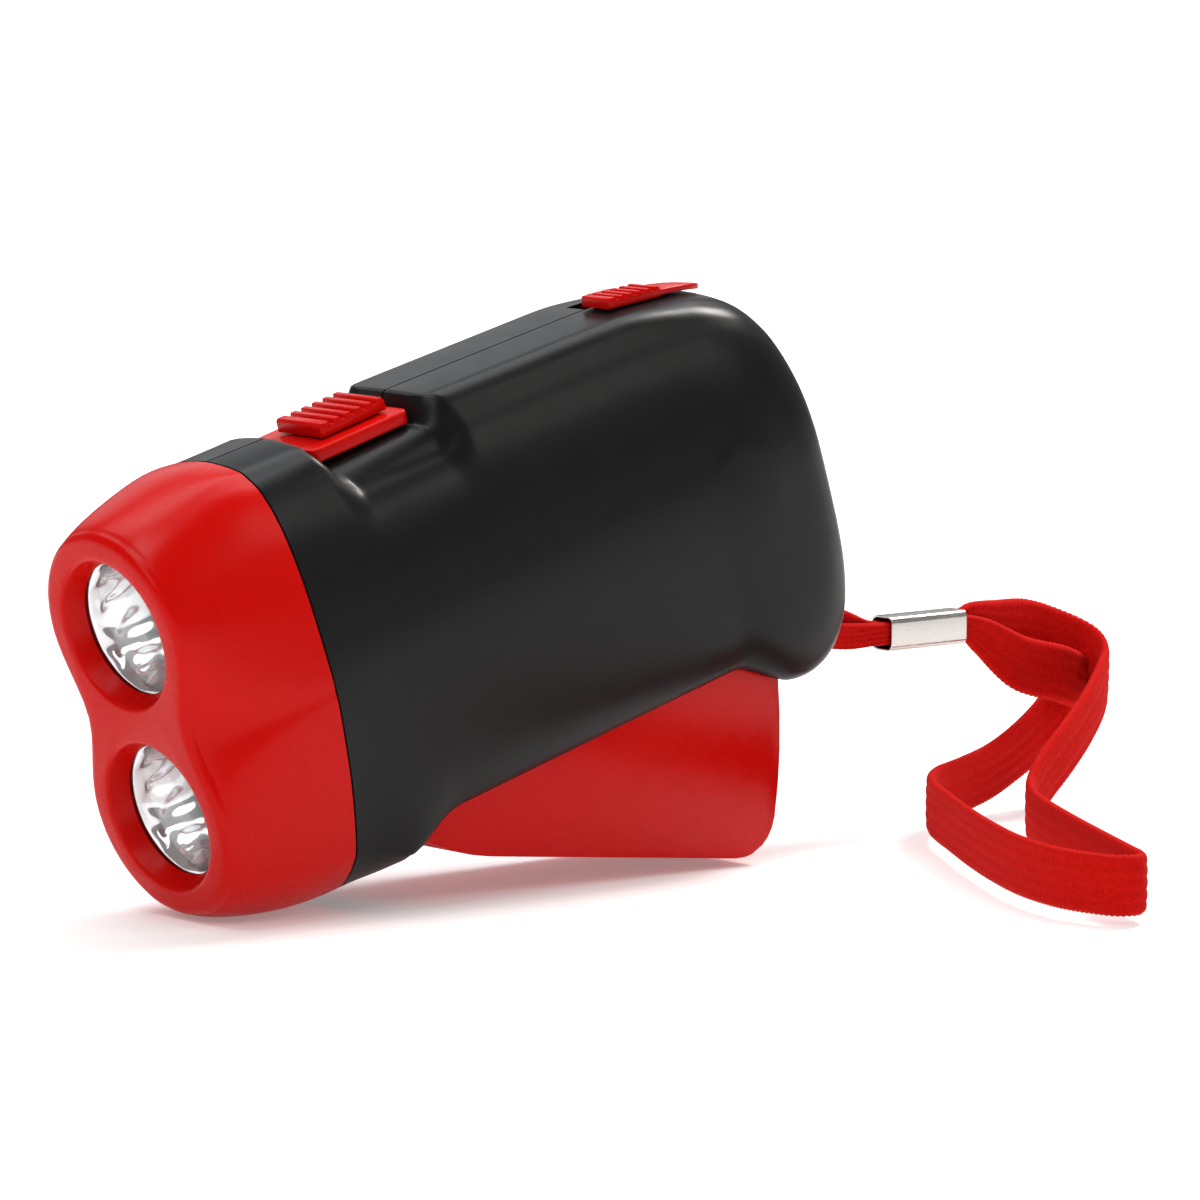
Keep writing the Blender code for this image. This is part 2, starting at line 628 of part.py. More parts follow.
def ring_point(x, z, ring, wall=0.0):
    """A point of the side view moved to one ring of the rounding, on the outer face or a wall inside it."""
    core_x = min(x, CORE_END_X)
    reach = hypot(x - core_x, z)
    along = ((x - core_x) / reach, z / reach)
    top, low, rear = max(along[1], 0.0) ** 2, max(-along[1], 0.0) ** 2, along[0] ** 2
    inset = wall + (top * TOP_ROUND * TOP_ROUND_SHARES[ring] + low * LIP_ROUND * LIP_ROUND_SHARES[ring]
                    + rear * REAR_ROUND * REAR_ROUND_SHARES[ring])
    fade = DIP_INNER_FADE_SHARES if wall else DIP_FADE_SHARES
    drop = dip_depth(x, wall) * fade[ring] if z > 0.0 else 0.0
    y = max(GAP / 2, (half_thickness(x) - wall) * RING_Y_SHARES[ring])
    return (x - inset * along[0], y, z - inset * along[1] - drop)


def zipped(top, low):
    """Triangles between two rows of (index, x), both from front to rear."""
    faces = []
    i = j = 0
    while i < len(top) - 1 or j < len(low) - 1:
        if j == len(low) - 1 or (i < len(top) - 1 and top[i + 1][1] <= low[j + 1][1]):
            faces.append((top[i][0], low[j][0], top[i + 1][0]))
            i += 1
        else:
            faces.append((top[i][0], low[j][0], low[j + 1][0]))
            j += 1
    return faces


def housing_shell(name, side):
    """One half: an outer and an inner skin of the same rings, joined along the seam and the front edge."""
    outline = housing_side()
    count, rings = len(outline), len(RING_Y_SHARES)
    skin = count * rings
    points = [ring_point(x, z, ring, wall) for wall in (0.0, WALL) for ring in range(rings) for x, z in outline]
    faces = []
    for ring in range(rings - 1):
        for i in range(count - 1):
            a = ring * count + i
            faces.append((a, a + 1, a + 1 + count, a + count))
    last = skin - count
    flat = [i for i, (x, z) in enumerate(outline) if x >= NECK_END_X - WELD]
    top_row = [(last + i, outline[i][0]) for i in range(flat[0] + 1)]
    low_row = [(last + i, outline[i][0]) for i in range(count - 1, flat[-1] - 1, -1)]
    faces += zipped(top_row, low_row)
    faces.append([last + i for i in flat])
    faces += [[skin + i for i in reversed(face)] for face in faces]
    rim = list(range(count)) + [ring * count + count - 1 for ring in range(1, rings)]
    rim += [ring * count for ring in range(rings - 1, 0, -1)]
    for a, b in zip(rim, rim[1:] + rim[:1]):
        faces.append((a, b, b + skin, a + skin))
    return outward(from_faces(name, [(x, side * y, z) for x, y, z in points], faces))


def head_point(x, ring, sign, inset=0.0):
    """A point of the head's outline at one station: two lobes at the front, the housing's section at the rear."""
    run = max(0.0, (x - HEAD_FULL_X) / HEAD_LENGTH)
    swell = sin(pi / 2 * run ** HEAD_SWELL_SHARE)
    if sign == 0:
        rear_top = TOP_Z - TOP_ROUND
        rear_low = -CHIN_Z + LIP_ROUND
        return (x, mix(WAIST_HALF - inset, NECK_HALF_THICK, swell), mix(0.0, (rear_top + rear_low) / 2, swell))
    angle = radians(LOBE_ANGLES[ring])
    radius = LOBE_RADIUS - inset
    front = (radius * cos(angle), sign * (LAMP_SPACING / 2 + radius * sin(angle)))
    edge = TOP_Z - TOP_ROUND * TOP_ROUND_SHARES[ring] if sign > 0 else CHIN_Z - LIP_ROUND * LIP_ROUND_SHARES[ring]
    rear = (NECK_HALF_THICK * RING_Y_SHARES[ring], sign * edge)
    return (x, mix(front[0], rear[0], swell), mix(front[1], rear[1], swell))


def head_section(x, inset=0.0):
    rings = range(len(RING_Y_SHARES))
    half = [head_point(x, ring, 1, inset) for ring in rings] + [head_point(x, 0, 0, inset)]
    half += [head_point(x, ring, -1, inset) for ring in reversed(rings)]
    return half + [(a, -y, z) for a, y, z in reversed(half[1:-1])]


def loft(name, sections, close_start=False, close_end=False):
    count = len(sections[0])
    points = [point for section in sections for point in section]
    faces = []
    for s in range(len(sections) - 1):
        for i in range(count):
            a, b = s * count + i, s * count + (i + 1) % count
            faces.append((a, b, b + count, a + count))
    if close_start:
        faces.append(list(reversed(range(count))))
    if close_end:
        faces.append(list(range(len(points) - count, len(points))))
    return outward(from_faces(name, points, faces))


HEAD_STATION_SHARES = (0.12, 0.30, 0.52, 0.76, 1.0)


def head_bezel():
    sections = [head_section(0.0, HEAD_LIP), head_section(HEAD_LIP / 5, HEAD_LIP / 2.4), head_section(HEAD_FULL_X)]
    sections += [head_section(HEAD_FULL_X + share * HEAD_LENGTH) for share in HEAD_STATION_SHARES]
    shell = loft("head_bezel", sections, close_start=True)
    front = shell.data.polygons[-1]
    if front.normal.x > 0.0:
        shell.data.flip_normals()
    solid = shell.modifiers.new("wall", "SOLIDIFY")
    solid.thickness = HEAD_WALL
    solid.offset = -1.0
    solid.use_even_offset = True
    settle(shell)
    outward(shell)
    for z in (LAMP_SPACING / 2, -LAMP_SPACING / 2):
        join(shell, rod("tube", (0.0, z), HEAD_WALL / 2, LAMP_TUBE_END_X, LAMP_TUBE_RADIUS, "X", 28))
        cut(shell, rod("bore", (0.0, z), WINDOW_DEPTH, LAMP_TUBE_END_X + OVERRUN, LAMP_BORE, "X", 28))
        cut(shell, window_cutter(z))
    return shell


def window_cutter(z):
    """The tapered window in front of a lamp."""
    slope = (RIM_RADIUS - WINDOW_RADIUS) / WINDOW_DEPTH
    start, end = -OVERRUN, WINDOW_DEPTH + OVERRUN / 2
    return cone("window", (0.0, z), start, end, RIM_RADIUS - slope * start, RIM_RADIUS - slope * end, "X", 32)


# Housing halves with their openings and bosses

def surface_y(shell, x, z, side, radius):
    """The least distance of the shell's outer face from the middle plane, round a boss of this radius."""
    found = []
    for du, dv in circle_outline((0.0, 0.0), radius, 8) + [(0.0, 0.0)]:
        hit, point, _, _ = shell.ray_cast((x + du, side * 2 * HALF_THICK, z + dv), (0.0, -side, 0.0))
        if hit:
            found.append(abs(point[1]))
    return min(found)


def boss(shell, place, side, start, radius, segments=12):
    """Joins a round post to the inside of the shell, from start to its wall, and returns where it ends."""
    x, z = place
    end = surface_y(shell, x, z, side, radius) - WALL / 3
    low, high = sorted((side * start, side * end))
    join(shell, rod("boss", place, low, high, radius, "Y", segments))
    return end


def bore(shell, place, side, start, end, radius, segments=12):
    low, high = sorted((side * start, side * end))
    cut(shell, rod("bore", place, low, high, radius, "Y", segments))


def lock_frame_point(run, rise):
    """A point of the lock in (x, z): run rearward along its tilted base, rise above it."""
    base_z = deck_height(LOCK_X) + LOCK_LIFT
    return (LOCK_X + run * cos(LOCK_TILT) + rise * sin(LOCK_TILT), base_z - run * sin(LOCK_TILT) + rise * cos(LOCK_TILT))


def pocket_bosses(shell, side):
    """The posts that carry pins and shafts, each with a blind hole."""
    for place, near, far, radius in (
            ((PIVOT_X, PIVOT_Z), PIN_BOSS_Y, PIN_BOSS_Y, PIN_RADIUS),
            (GEAR_1, DRIVE_BOSS_NEAR_Y, DRIVE_BOSS_FAR_Y, SHAFT_RADIUS),
            (GEAR_2, SECOND_BOSS_NEAR_Y, SECOND_BOSS_FAR_Y, SHAFT_RADIUS),
            (GEAR_3, ROTOR_BOSS_NEAR_Y, ROTOR_BOSS_FAR_Y, ROTOR_SHAFT_RADIUS)):
        start = far if side > 0 else near
        embed = PIN_EMBED if radius == PIN_RADIUS else SHAFT_EMBED
        boss(shell, place, side, start, radius + BOSS_WALL)
        bore(shell, place, side, start - OVERRUN, start + embed + GAP, radius + PRESS_GAP)


def screw_bosses(shell, side):
    for place in SCREW_PLACES:
        face = surface_y(shell, place[0], place[1], side, SCREW_BOSS_RADIUS)
        boss(shell, place, side, GAP, SCREW_BOSS_RADIUS)
        if side < 0:
            bore(shell, place, side, -OVERRUN, SCREW_BITE + 2 * GAP, SCREW_RADIUS + PRESS_GAP)
        else:
            seat = screw_seat_y(shell, place, face)
            bore(shell, place, side, -OVERRUN, seat + OVERRUN, SCREW_RADIUS + GAP)
            bore(shell, place, side, seat, HALF_THICK + OVERRUN, SCREW_HEAD_RADIUS + GAP)


def screw_seat_y(shell, place, face):
    """The seat of a screw's head, by its sink below the shell's face; kept for the screw itself."""
    SCREW_SEATS[place] = face - SCREW_HEAD_SINK
    return SCREW_SEATS[place]


def housing_half(name, side):
    shell = housing_shell(name, side)
    top = LEVER_OPENING_TOP_Z
    rear = PIVOT_X + LEVER_REACH + LEVER_TIP_GAP
    half = PIN_BOSS_Y + GAP
    cut(shell, box("opening", (LEVER_OPENING_FRONT_X, -half, -HEEL_Z - OVERRUN), (rear, half, top)))
    cut(shell, box("slot", (SLOT_FRONT_X, -SLOT_HALF_WIDTH, SLOT_LOW_Z), (REAR_X + OVERRUN, SLOT_HALF_WIDTH, SLOT_HIGH_Z)))
    stem_front = BUTTON_MIDDLE_X - BUTTON_STEM_HALF_LENGTH - BUTTON_TRAVEL - GAP
    stem_rear = BUTTON_MIDDLE_X + BUTTON_STEM_HALF_LENGTH + GAP
    cut(shell, box("stem_slot", (stem_front, -PLATE_SLOT_HALF_WIDTH, PCB_Z), (stem_rear, PLATE_SLOT_HALF_WIDTH, TOP_Z)))
    lock_front = LOCK_STEM_X - LOCK_TRAVEL - 2 * GAP
    lock_rear = LOCK_STEM_X + LOCK_STEM_LENGTH + GAP
    cut(shell, box("lock_slot", (lock_front, -LOCK_SLOT_HALF_WIDTH, PCB_Z), (lock_rear, LOCK_SLOT_HALF_WIDTH, TOP_Z + OVERRUN)))
    pocket_bosses(shell, side)
    screw_bosses(shell, side)
    boss(shell, (BATTERY_X, BATTERY_Z), side, BATTERY_STOP_Y, CONTACT_HALF_SIDE / 2)
    for u, v in PCB_POST_PLACES:
        boss(shell, (u, v), side, PCB_POST_Y, PCB_POST_RADIUS, 8)
    for turn in STATOR_POST_TURNS:
        if side > 0:
            boss(shell, polar(STATOR_POST_REACH, turn, GEAR_3), side, STATOR_END_Y + GAP, STATOR_POST_RADIUS, 8)
    if side < 0:
        join(shell, rod("post", (STRAP_POST_X, STRAP_POST_Z), -STRAP_POST_ROOT_Y, STRAP_POST_END_Y, STRAP_POST_RADIUS))
    return shell


# Lamps

def lens(name, z):
    return rod(name, (0.0, z), LENS_X, LENS_X + LENS_THICK, LAMP_BORE - GAP, "X", 28)


def reflector(name, z):
    rim = LAMP_BORE - GAP
    length = REFLECTOR_END_X - REFLECTOR_X
    inner = []
    for i in range(REFLECTOR_STEPS + 1):
        share = i / REFLECTOR_STEPS
        inner.append((mix(rim - REFLECTOR_WALL, REFLECTOR_THROAT, share), REFLECTOR_X + length * share ** REFLECTOR_CURVE))
    outer = [(radius + REFLECTOR_WALL, x) for radius, x in reversed(inner)]
    return moved(turned(name, inner + outer, 24), (0.0, 0.0, z))


def led(name, z):
    rear = LED_BOARD_X - GAP
    front = rear - LED_LENGTH
    profile = [(0.0, rear), (LED_FLANGE, rear), (LED_FLANGE, rear - LED_FLANGE_THICK), (LED_RADIUS, rear - LED_FLANGE_THICK)]
    profile += [(LED_RADIUS * cos(a), front + LED_RADIUS - LED_RADIUS * sin(a)) for a in (0.0, pi / 8, pi / 4, 3 * pi / 8)]
    profile += [(0.0, front)]
    return moved(turned(name, profile, 16), (0.0, 0.0, z))


def led_board():
    outline = rounded_box_outline(LED_BOARD_HALF_WIDTH, LED_BOARD_HALF_HEIGHT, LED_FLANGE)
    return slab("led_board", [outline], LED_BOARD_X, LED_BOARD_X + BOARD_THICK, "X")


# Gears

def gear_outline(centre, module, teeth, phase, first=0, last=None):
    """A toothed outline; with first and last it gives only those teeth, for a sector."""
    pitch = module * teeth / 2
    quarter = pi / (2 * teeth)
    root, tip = pitch - DEDENDUM_SHARE * module, pitch + ADDENDUM_SHARE * module
    points = []
    for k in range(first, teeth if last is None else last + 1):
        middle = phase + 2 * pi * k / teeth
        for radius, share in ((root, -ROOT_SHARE), (tip, -TIP_SHARE), (tip, TIP_SHARE), (root, ROOT_SHARE)):
            points.append(polar(radius, middle + share * quarter, centre))
    return points


def drive_pinion():
    outline = gear_outline(GEAR_1, SECTOR_MODULE, PINION_TEETH, MESH_ANGLE_1 + pi + pi / PINION_TEETH)
    hole = circle_outline(GEAR_1, SHAFT_RADIUS + GAP, 16)
    return slab("drive_pinion", [outline, hole], -PINION_HALF_WIDTH, PINION_HALF_WIDTH)


def drive_wheel():
    outline = gear_outline(GEAR_1, DRIVE_WHEEL_MODULE, WHEEL_TEETH, MESH_ANGLE_2)
    holes = [circle_outline(GEAR_1, SHAFT_RADIUS + GAP, 16)]
    holes += [circle_outline(polar(WHEEL_HOLE_REACH, turn, GEAR_1), WHEEL_HOLE_RADIUS, 8) for turn in WHEEL_HOLE_TURNS]
    return slab("drive_wheel", [outline] + holes, WHEEL_1_Y, WHEEL_1_Y + WHEEL_THICK)


def second_gear():
    pinion = gear_outline(GEAR_2, DRIVE_WHEEL_MODULE, PINION_TEETH, MESH_ANGLE_2 + pi + pi / PINION_TEETH)
    wheel = gear_outline(GEAR_2, SECOND_WHEEL_MODULE, WHEEL_TEETH, MESH_ANGLE_3)
    gear = slab("second_gear", [wheel], WHEEL_2_Y, WHEEL_2_Y + WHEEL_THICK)
    hub_end = WHEEL_1_Y + WHEEL_THICK / 4
    join(gear, rod("hub", GEAR_2, WHEEL_2_Y + WHEEL_THICK / 2, hub_end, SHAFT_RADIUS + GAP + HUB_WALL, "Y", 12))
    join(gear, slab("pinion", [pinion], WHEEL_1_Y - GAP / 2, WHEEL_1_Y + WHEEL_THICK))
    return cut(gear, rod("hole", GEAR_2, WHEEL_2_Y - OVERRUN, WHEEL_1_Y + WHEEL_THICK + OVERRUN, SHAFT_RADIUS + GAP, "Y", 16))


def shaft(name, place, near, far, radius, embed):
    return rod(name, place, -near - embed, far + embed, radius, "Y", 16)


# Generator

def rotor():
    pinion = gear_outline(GEAR_3, SECOND_WHEEL_MODULE, PINION_TEETH, MESH_ANGLE_3 + pi + pi / PINION_TEETH)
    wheel_rear = FLYWHEEL_Y + FLYWHEEL_THICK
    body = rod("rotor", GEAR_3, FLYWHEEL_Y, wheel_rear, FLYWHEEL_RADIUS, "Y", 24)
    depth = (FLYWHEEL_THICK - FLYWHEEL_WEB) / 2
    ring = [circle_outline(GEAR_3, FLYWHEEL_RADIUS - FLYWHEEL_RIM, 20), circle_outline(GEAR_3, ROTOR_HUB_RADIUS + HUB_WALL, 12)]
    cut(body, slab("hollow", ring, FLYWHEEL_Y - OVERRUN, FLYWHEEL_Y + depth))
    cut(body, slab("hollow", ring, wheel_rear - depth, wheel_rear + OVERRUN))
    join(body, rod("hub", GEAR_3, WHEEL_2_Y + WHEEL_THICK / 2, STATOR_END_Y, ROTOR_HUB_RADIUS, "Y", 16))
    join(body, slab("pinion", [pinion], WHEEL_2_Y, WHEEL_2_Y + WHEEL_THICK + GAP))
    reach = STATOR_END_Y + OVERRUN
    return cut(body, rod("hole", GEAR_3, WHEEL_2_Y - OVERRUN, reach, ROTOR_SHAFT_RADIUS + PRESS_GAP, "Y", 16))


def rotor_magnet():
    outline = [circle_outline(GEAR_3, MAGNET_RADIUS, 28), circle_outline(GEAR_3, ROTOR_HUB_RADIUS + PRESS_GAP, 16)]
    return slab("rotor_magnet", outline, STATOR_Y + GAP, STATOR_END_Y - GAP)


def notched_circle(centre, radius, depth, count):
    points = []
    for k in range(count):
        for share, deep in ((0.0, 0.0), (0.55, 0.0), (0.65, 1.0), (0.9, 1.0)):
            points.append(polar(radius + depth * deep, 2 * pi * (k + share) / count, centre))
    return points


def stator_plate(name, y):
    bore_outline = notched_circle(GEAR_3, STATOR_BORE, POLE_DEPTH, POLE_COUNT)
    return slab(name, [circle_outline(GEAR_3, STATOR_RADIUS, 32), bore_outline], y, y + STATOR_PLATE_THICK)


def coil_winding():
    start = STATOR_Y + STATOR_PLATE_THICK + GAP
    outline = [circle_outline(GEAR_3, STATOR_RADIUS - COIL_INSET, 32), circle_outline(GEAR_3, COIL_BORE, 28)]
    return slab("coil_winding", outline, start, start + COIL_THICK)


# Squeeze lever

def lever_point(run, drop):
    """A point of the lever at rest: run along its face line from the pivot, drop square below the pivot."""
    return (PIVOT_X + run * cos(LEVER_REST_ANGLE) - drop * sin(LEVER_REST_ANGLE),
            PIVOT_Z - run * sin(LEVER_REST_ANGLE) - drop * cos(LEVER_REST_ANGLE))


def lever_outline(inset):
    """The lever's side view, drawn in by inset: nose, face, rear corner, rear arc and top edge."""
    pivot = (PIVOT_X, PIVOT_Z)
    nose = LEVER_NOSE_RADIUS - inset
    drop = LEVER_FACE_DROP - inset
    reach = LEVER_REACH - inset
    corner = LEVER_CORNER - inset
    points = arc(pivot, nose, pi / 2, 3 * pi / 2 - LEVER_NOSE_ANGLE, 8)
    # Where the nose line meets the face line, in the lever's own directions
    turn = LEVER_NOSE_ANGLE - LEVER_REST_ANGLE
    heel_run = (drop * cos(turn) - nose) / sin(turn)
    for share, lift in LEVER_HEEL_SHARES:
        points.append(lever_point(heel_run + share * LEVER_HEEL_ROUND, drop - lift * LEVER_HEEL_ROUND))
    corner_run = sqrt((reach - corner) ** 2 - (drop - corner) ** 2)
    centre = lever_point(corner_run, drop - corner)
    end = atan2(centre[1] - PIVOT_Z, centre[0] - PIVOT_X)
    points += arc(centre, corner, -LEVER_REST_ANGLE - pi / 2, end, 6)
    points += arc(pivot, reach, end, -LEVER_TOP_ANGLE, 6)[1:]
    return points


def sector_outline():
    """The rib in the middle of the lever: a wedge from the pivot to a toothed arc, and down to the lever's floor."""
    pivot = (PIVOT_X, PIVOT_Z)
    step = 2 * pi / SECTOR_TEETH
    below = int((LEVER_SWING + SECTOR_SPARE_ANGLE) / step) + 1
    above = int(SECTOR_SPARE_ANGLE / step) + 1
    teeth = gear_outline(pivot, SECTOR_MODULE, SECTOR_TEETH, MESH_ANGLE_1, -below, above)
    floor = LEVER_FACE_DROP - LEVER_WALL / 2
    low = [lever_point(run, floor) for run in (LEVER_FACE_DROP, SECTOR_FOOT_RUN)]
    hub = LEVER_NOSE_RADIUS - GAP
    return [polar(hub, MESH_ANGLE_1 + pi, pivot)] + low + teeth + [polar(hub, pi / 2, pivot)]


def squeeze_lever():
    half = LEVER_HALF_WIDTH
    lever = bevelled(slab("squeeze_lever", [lever_outline(0.0)], -half, half), LEVER_EDGE, 2)
    inner = lever_outline(LEVER_WALL)
    top = [polar(LEVER_REACH - LEVER_WALL, LEVER_OPEN_ANGLE, (PIVOT_X, PIVOT_Z)),
           (PIVOT_X - LEVER_NOSE_RADIUS + LEVER_WALL, PIVOT_Z + LEVER_FACE_DROP)]
    hollow = inner[LEVER_INNER_START:] + top
    cut(lever, slab("hollow", [hollow], LEVER_WALL - half, half - LEVER_WALL))
    cut(lever, rod("coil_room", (PIVOT_X, PIVOT_Z), LEVER_WALL - half, half - LEVER_WALL, SPRING_BORE))
    join(lever, slab("sector", [sector_outline()], -SECTOR_HALF_WIDTH, SECTOR_HALF_WIDTH))
    pivot = (PIVOT_X, PIVOT_Z)
    cut(lever, rod("hole", pivot, -half - OVERRUN, half + OVERRUN, PIN_RADIUS + GAP))
    window = []
    for angle in (LOCK_WINDOW_LOW, LOCK_WINDOW_HIGH):
        window.append(polar(LEVER_REACH + OVERRUN, angle - LEVER_SWING, pivot))
    for angle in (LOCK_WINDOW_HIGH, LOCK_WINDOW_LOW):
        window.append(polar(LEVER_REACH - LEVER_WALL - OVERRUN, angle - LEVER_SWING, pivot))
    return cut(lever, slab("window", [window], -LOCK_WINDOW_HALF_WIDTH, LOCK_WINDOW_HALF_WIDTH))


def lever_pin():
    half = PIN_BOSS_Y + PIN_EMBED
    return rod("lever_pin", (PIVOT_X, PIVOT_Z), -half, half, PIN_RADIUS)


def swept_round(name, path, radius, sides=8):
    """A round wire along a path, as a curve with filled caps made into a mesh."""
    curve = bpy.data.curves.new(name, "CURVE")
    curve.dimensions = "3D"
    curve.bevel_depth = radius
    curve.bevel_resolution = sides // 4
    curve.use_fill_caps = True
    spline = curve.splines.new("POLY")
    spline.points.add(len(path) - 1)
    for point, place in zip(spline.points, path):
        point.co = (*place, 1.0)
    return outward(settle(new_object(name, curve)))


def return_spring():
    """Coils round the lever pin, one leg back along the lever's floor and one up to the housing."""
    start = -LEVER_REST_ANGLE - pi / 2
    foot = polar(SPRING_RADIUS, start, (PIVOT_X, PIVOT_Z))
    heel = polar(SPRING_LEG, -LEVER_REST_ANGLE, foot)
    path = [(heel[0], SPRING_START_Y, heel[1])]
    for i in range(SPRING_STEPS + 1):
        turns = SPRING_TURNS * i / SPRING_STEPS
        turn = start - 2 * pi * turns
        x, z = polar(SPRING_RADIUS, turn, (PIVOT_X, PIVOT_Z))
        path.append((x, SPRING_START_Y + SPRING_PITCH * turns, z))
    x, z = polar(SPRING_HOUSING_LEG, turn - pi / 2, (x, z))
    path.append((x, path[-1][1], z))
    return swept_round("return_spring", path, SPRING_WIRE)


# Electronics

def circuit_board():
    board = box("circuit_board", (PCB_FRONT_X, -PCB_HALF_WIDTH, PCB_Z), (PCB_REAR_X, PCB_HALF_WIDTH, PCB_Z + BOARD_THICK))
    bevelled(board, BOARD_THICK / 4, 1)
    return board


def slide_switch():
    low = PCB_Z + BOARD_THICK + GAP
    high = low + SWITCH_BODY_HEIGHT
    left, right = BUTTON_MIDDLE_X - SWITCH_BODY_HALF_LENGTH, BUTTON_MIDDLE_X + SWITCH_BODY_HALF_LENGTH
    body = box("slide_switch", (left, -SWITCH_BODY_HALF_WIDTH, low), (right, SWITCH_BODY_HALF_WIDTH, high))
    half = BUTTON_STEM_HALF_WIDTH + GAP
    front = BUTTON_MIDDLE_X - BUTTON_STEM_HALF_LENGTH - BUTTON_TRAVEL - GAP
    rear = BUTTON_MIDDLE_X + BUTTON_STEM_HALF_LENGTH + GAP
    return cut(body, box("track", (front, -half, high - SWITCH_TRACK_DEPTH), (rear, half, high + OVERRUN)))


def battery_stack():
    """Three button cells end to end, turned about x and then laid across the torch."""
    profile = [(0.0, 0.0)]
    for k in range(CELL_COUNT):
        start = k * CELL_LENGTH
        profile += [(CELL_RADIUS - CELL_STEP, start), (CELL_RADIUS - CELL_STEP, start + CELL_STEP),
                    (CELL_RADIUS, start + 2 * CELL_STEP), (CELL_RADIUS, start + CELL_LENGTH)]
    profile.append((0.0, CELL_COUNT * CELL_LENGTH))
    cells = turned("battery_stack", profile, 20)
    cells.data.transform(Matrix.Rotation(pi / 2, 4, "Z"))
    return moved(cells, (BATTERY_X, -CELL_COUNT * CELL_LENGTH / 2, BATTERY_Z))


def battery_contact(name, side):
    inner = side * (CELL_COUNT * CELL_LENGTH / 2 + GAP)
    outer = inner + side * CONTACT_THICK
    half = CONTACT_HALF_SIDE
    low = (BATTERY_X - half, min(inner, outer), BATTERY_Z - half)
    return box(name, low, (BATTERY_X + half, max(inner, outer), BATTERY_Z + half))


# Switch and lock

def ribbed_outline(length, height, depth, ribs, lead):
    """Side view of a thumb piece: a plain block of length lead, then ribs of equal width and gap."""
    step = (length - lead) / ribs
    points = [(0.0, 0.0), (0.0, height - depth), (depth, height)]
    if lead:
        points += [(lead - depth / 2, height), (lead, height - depth)]
    for k in range(ribs):
        start = lead + k * step
        if lead or k:
            points += [(start + step * RIB_GAP_SHARE, height - depth), (start + step * RIB_GAP_SHARE, height)]
        points.append((start + step * RIB_TOP_SHARE, height))
        points.append((start + step, height - depth))
    return points + [(length, 0.0)]


def switch_plate():
    front, rear = DIP_FRONT_X + DIP_RAMP + GAP, DIP_REAR_X - DIP_RAMP - GAP
    middle, half = (front + rear) / 2, (rear - front) / 2
    outline = [(middle + u, v) for u, v in rounded_box_outline(half, PLATE_HALF_WIDTH, PLATE_CORNER, 4)]
    low = TOP_Z - DIP_DEPTH + GAP
    plate = bevelled(slab("switch_plate", [outline], low, PLATE_TOP_Z, "Z"), PLATE_EDGE, 1)
    slot_front = BUTTON_MIDDLE_X - BUTTON_STEM_HALF_LENGTH - BUTTON_TRAVEL - GAP
    slot_rear = BUTTON_MIDDLE_X + BUTTON_STEM_HALF_LENGTH + GAP
    half_slot = PLATE_SLOT_HALF_WIDTH
    return cut(plate, box("slot", (slot_front, -half_slot, low - OVERRUN), (slot_rear, half_slot, PLATE_TOP_Z + OVERRUN)))


def switch_button():
    base = PLATE_TOP_Z + GAP
    outline = ribbed_outline(BUTTON_LENGTH, BUTTON_HEIGHT, BUTTON_RIB_DEPTH, BUTTON_RIBS, 0.0)
    outline = [(BUTTON_FRONT_X + u, base + v) for u, v in outline]
    button = slab("switch_button", [outline], -BUTTON_HALF_WIDTH, BUTTON_HALF_WIDTH)
    low = PCB_Z + BOARD_THICK + GAP + SWITCH_BODY_HEIGHT - SWITCH_TRACK_DEPTH + GAP
    stem = box("stem", (BUTTON_MIDDLE_X - BUTTON_STEM_HALF_LENGTH, -BUTTON_STEM_HALF_WIDTH, low),
               (BUTTON_MIDDLE_X + BUTTON_STEM_HALF_LENGTH, BUTTON_STEM_HALF_WIDTH, base + BUTTON_HEIGHT / 2))
    return join(button, stem)


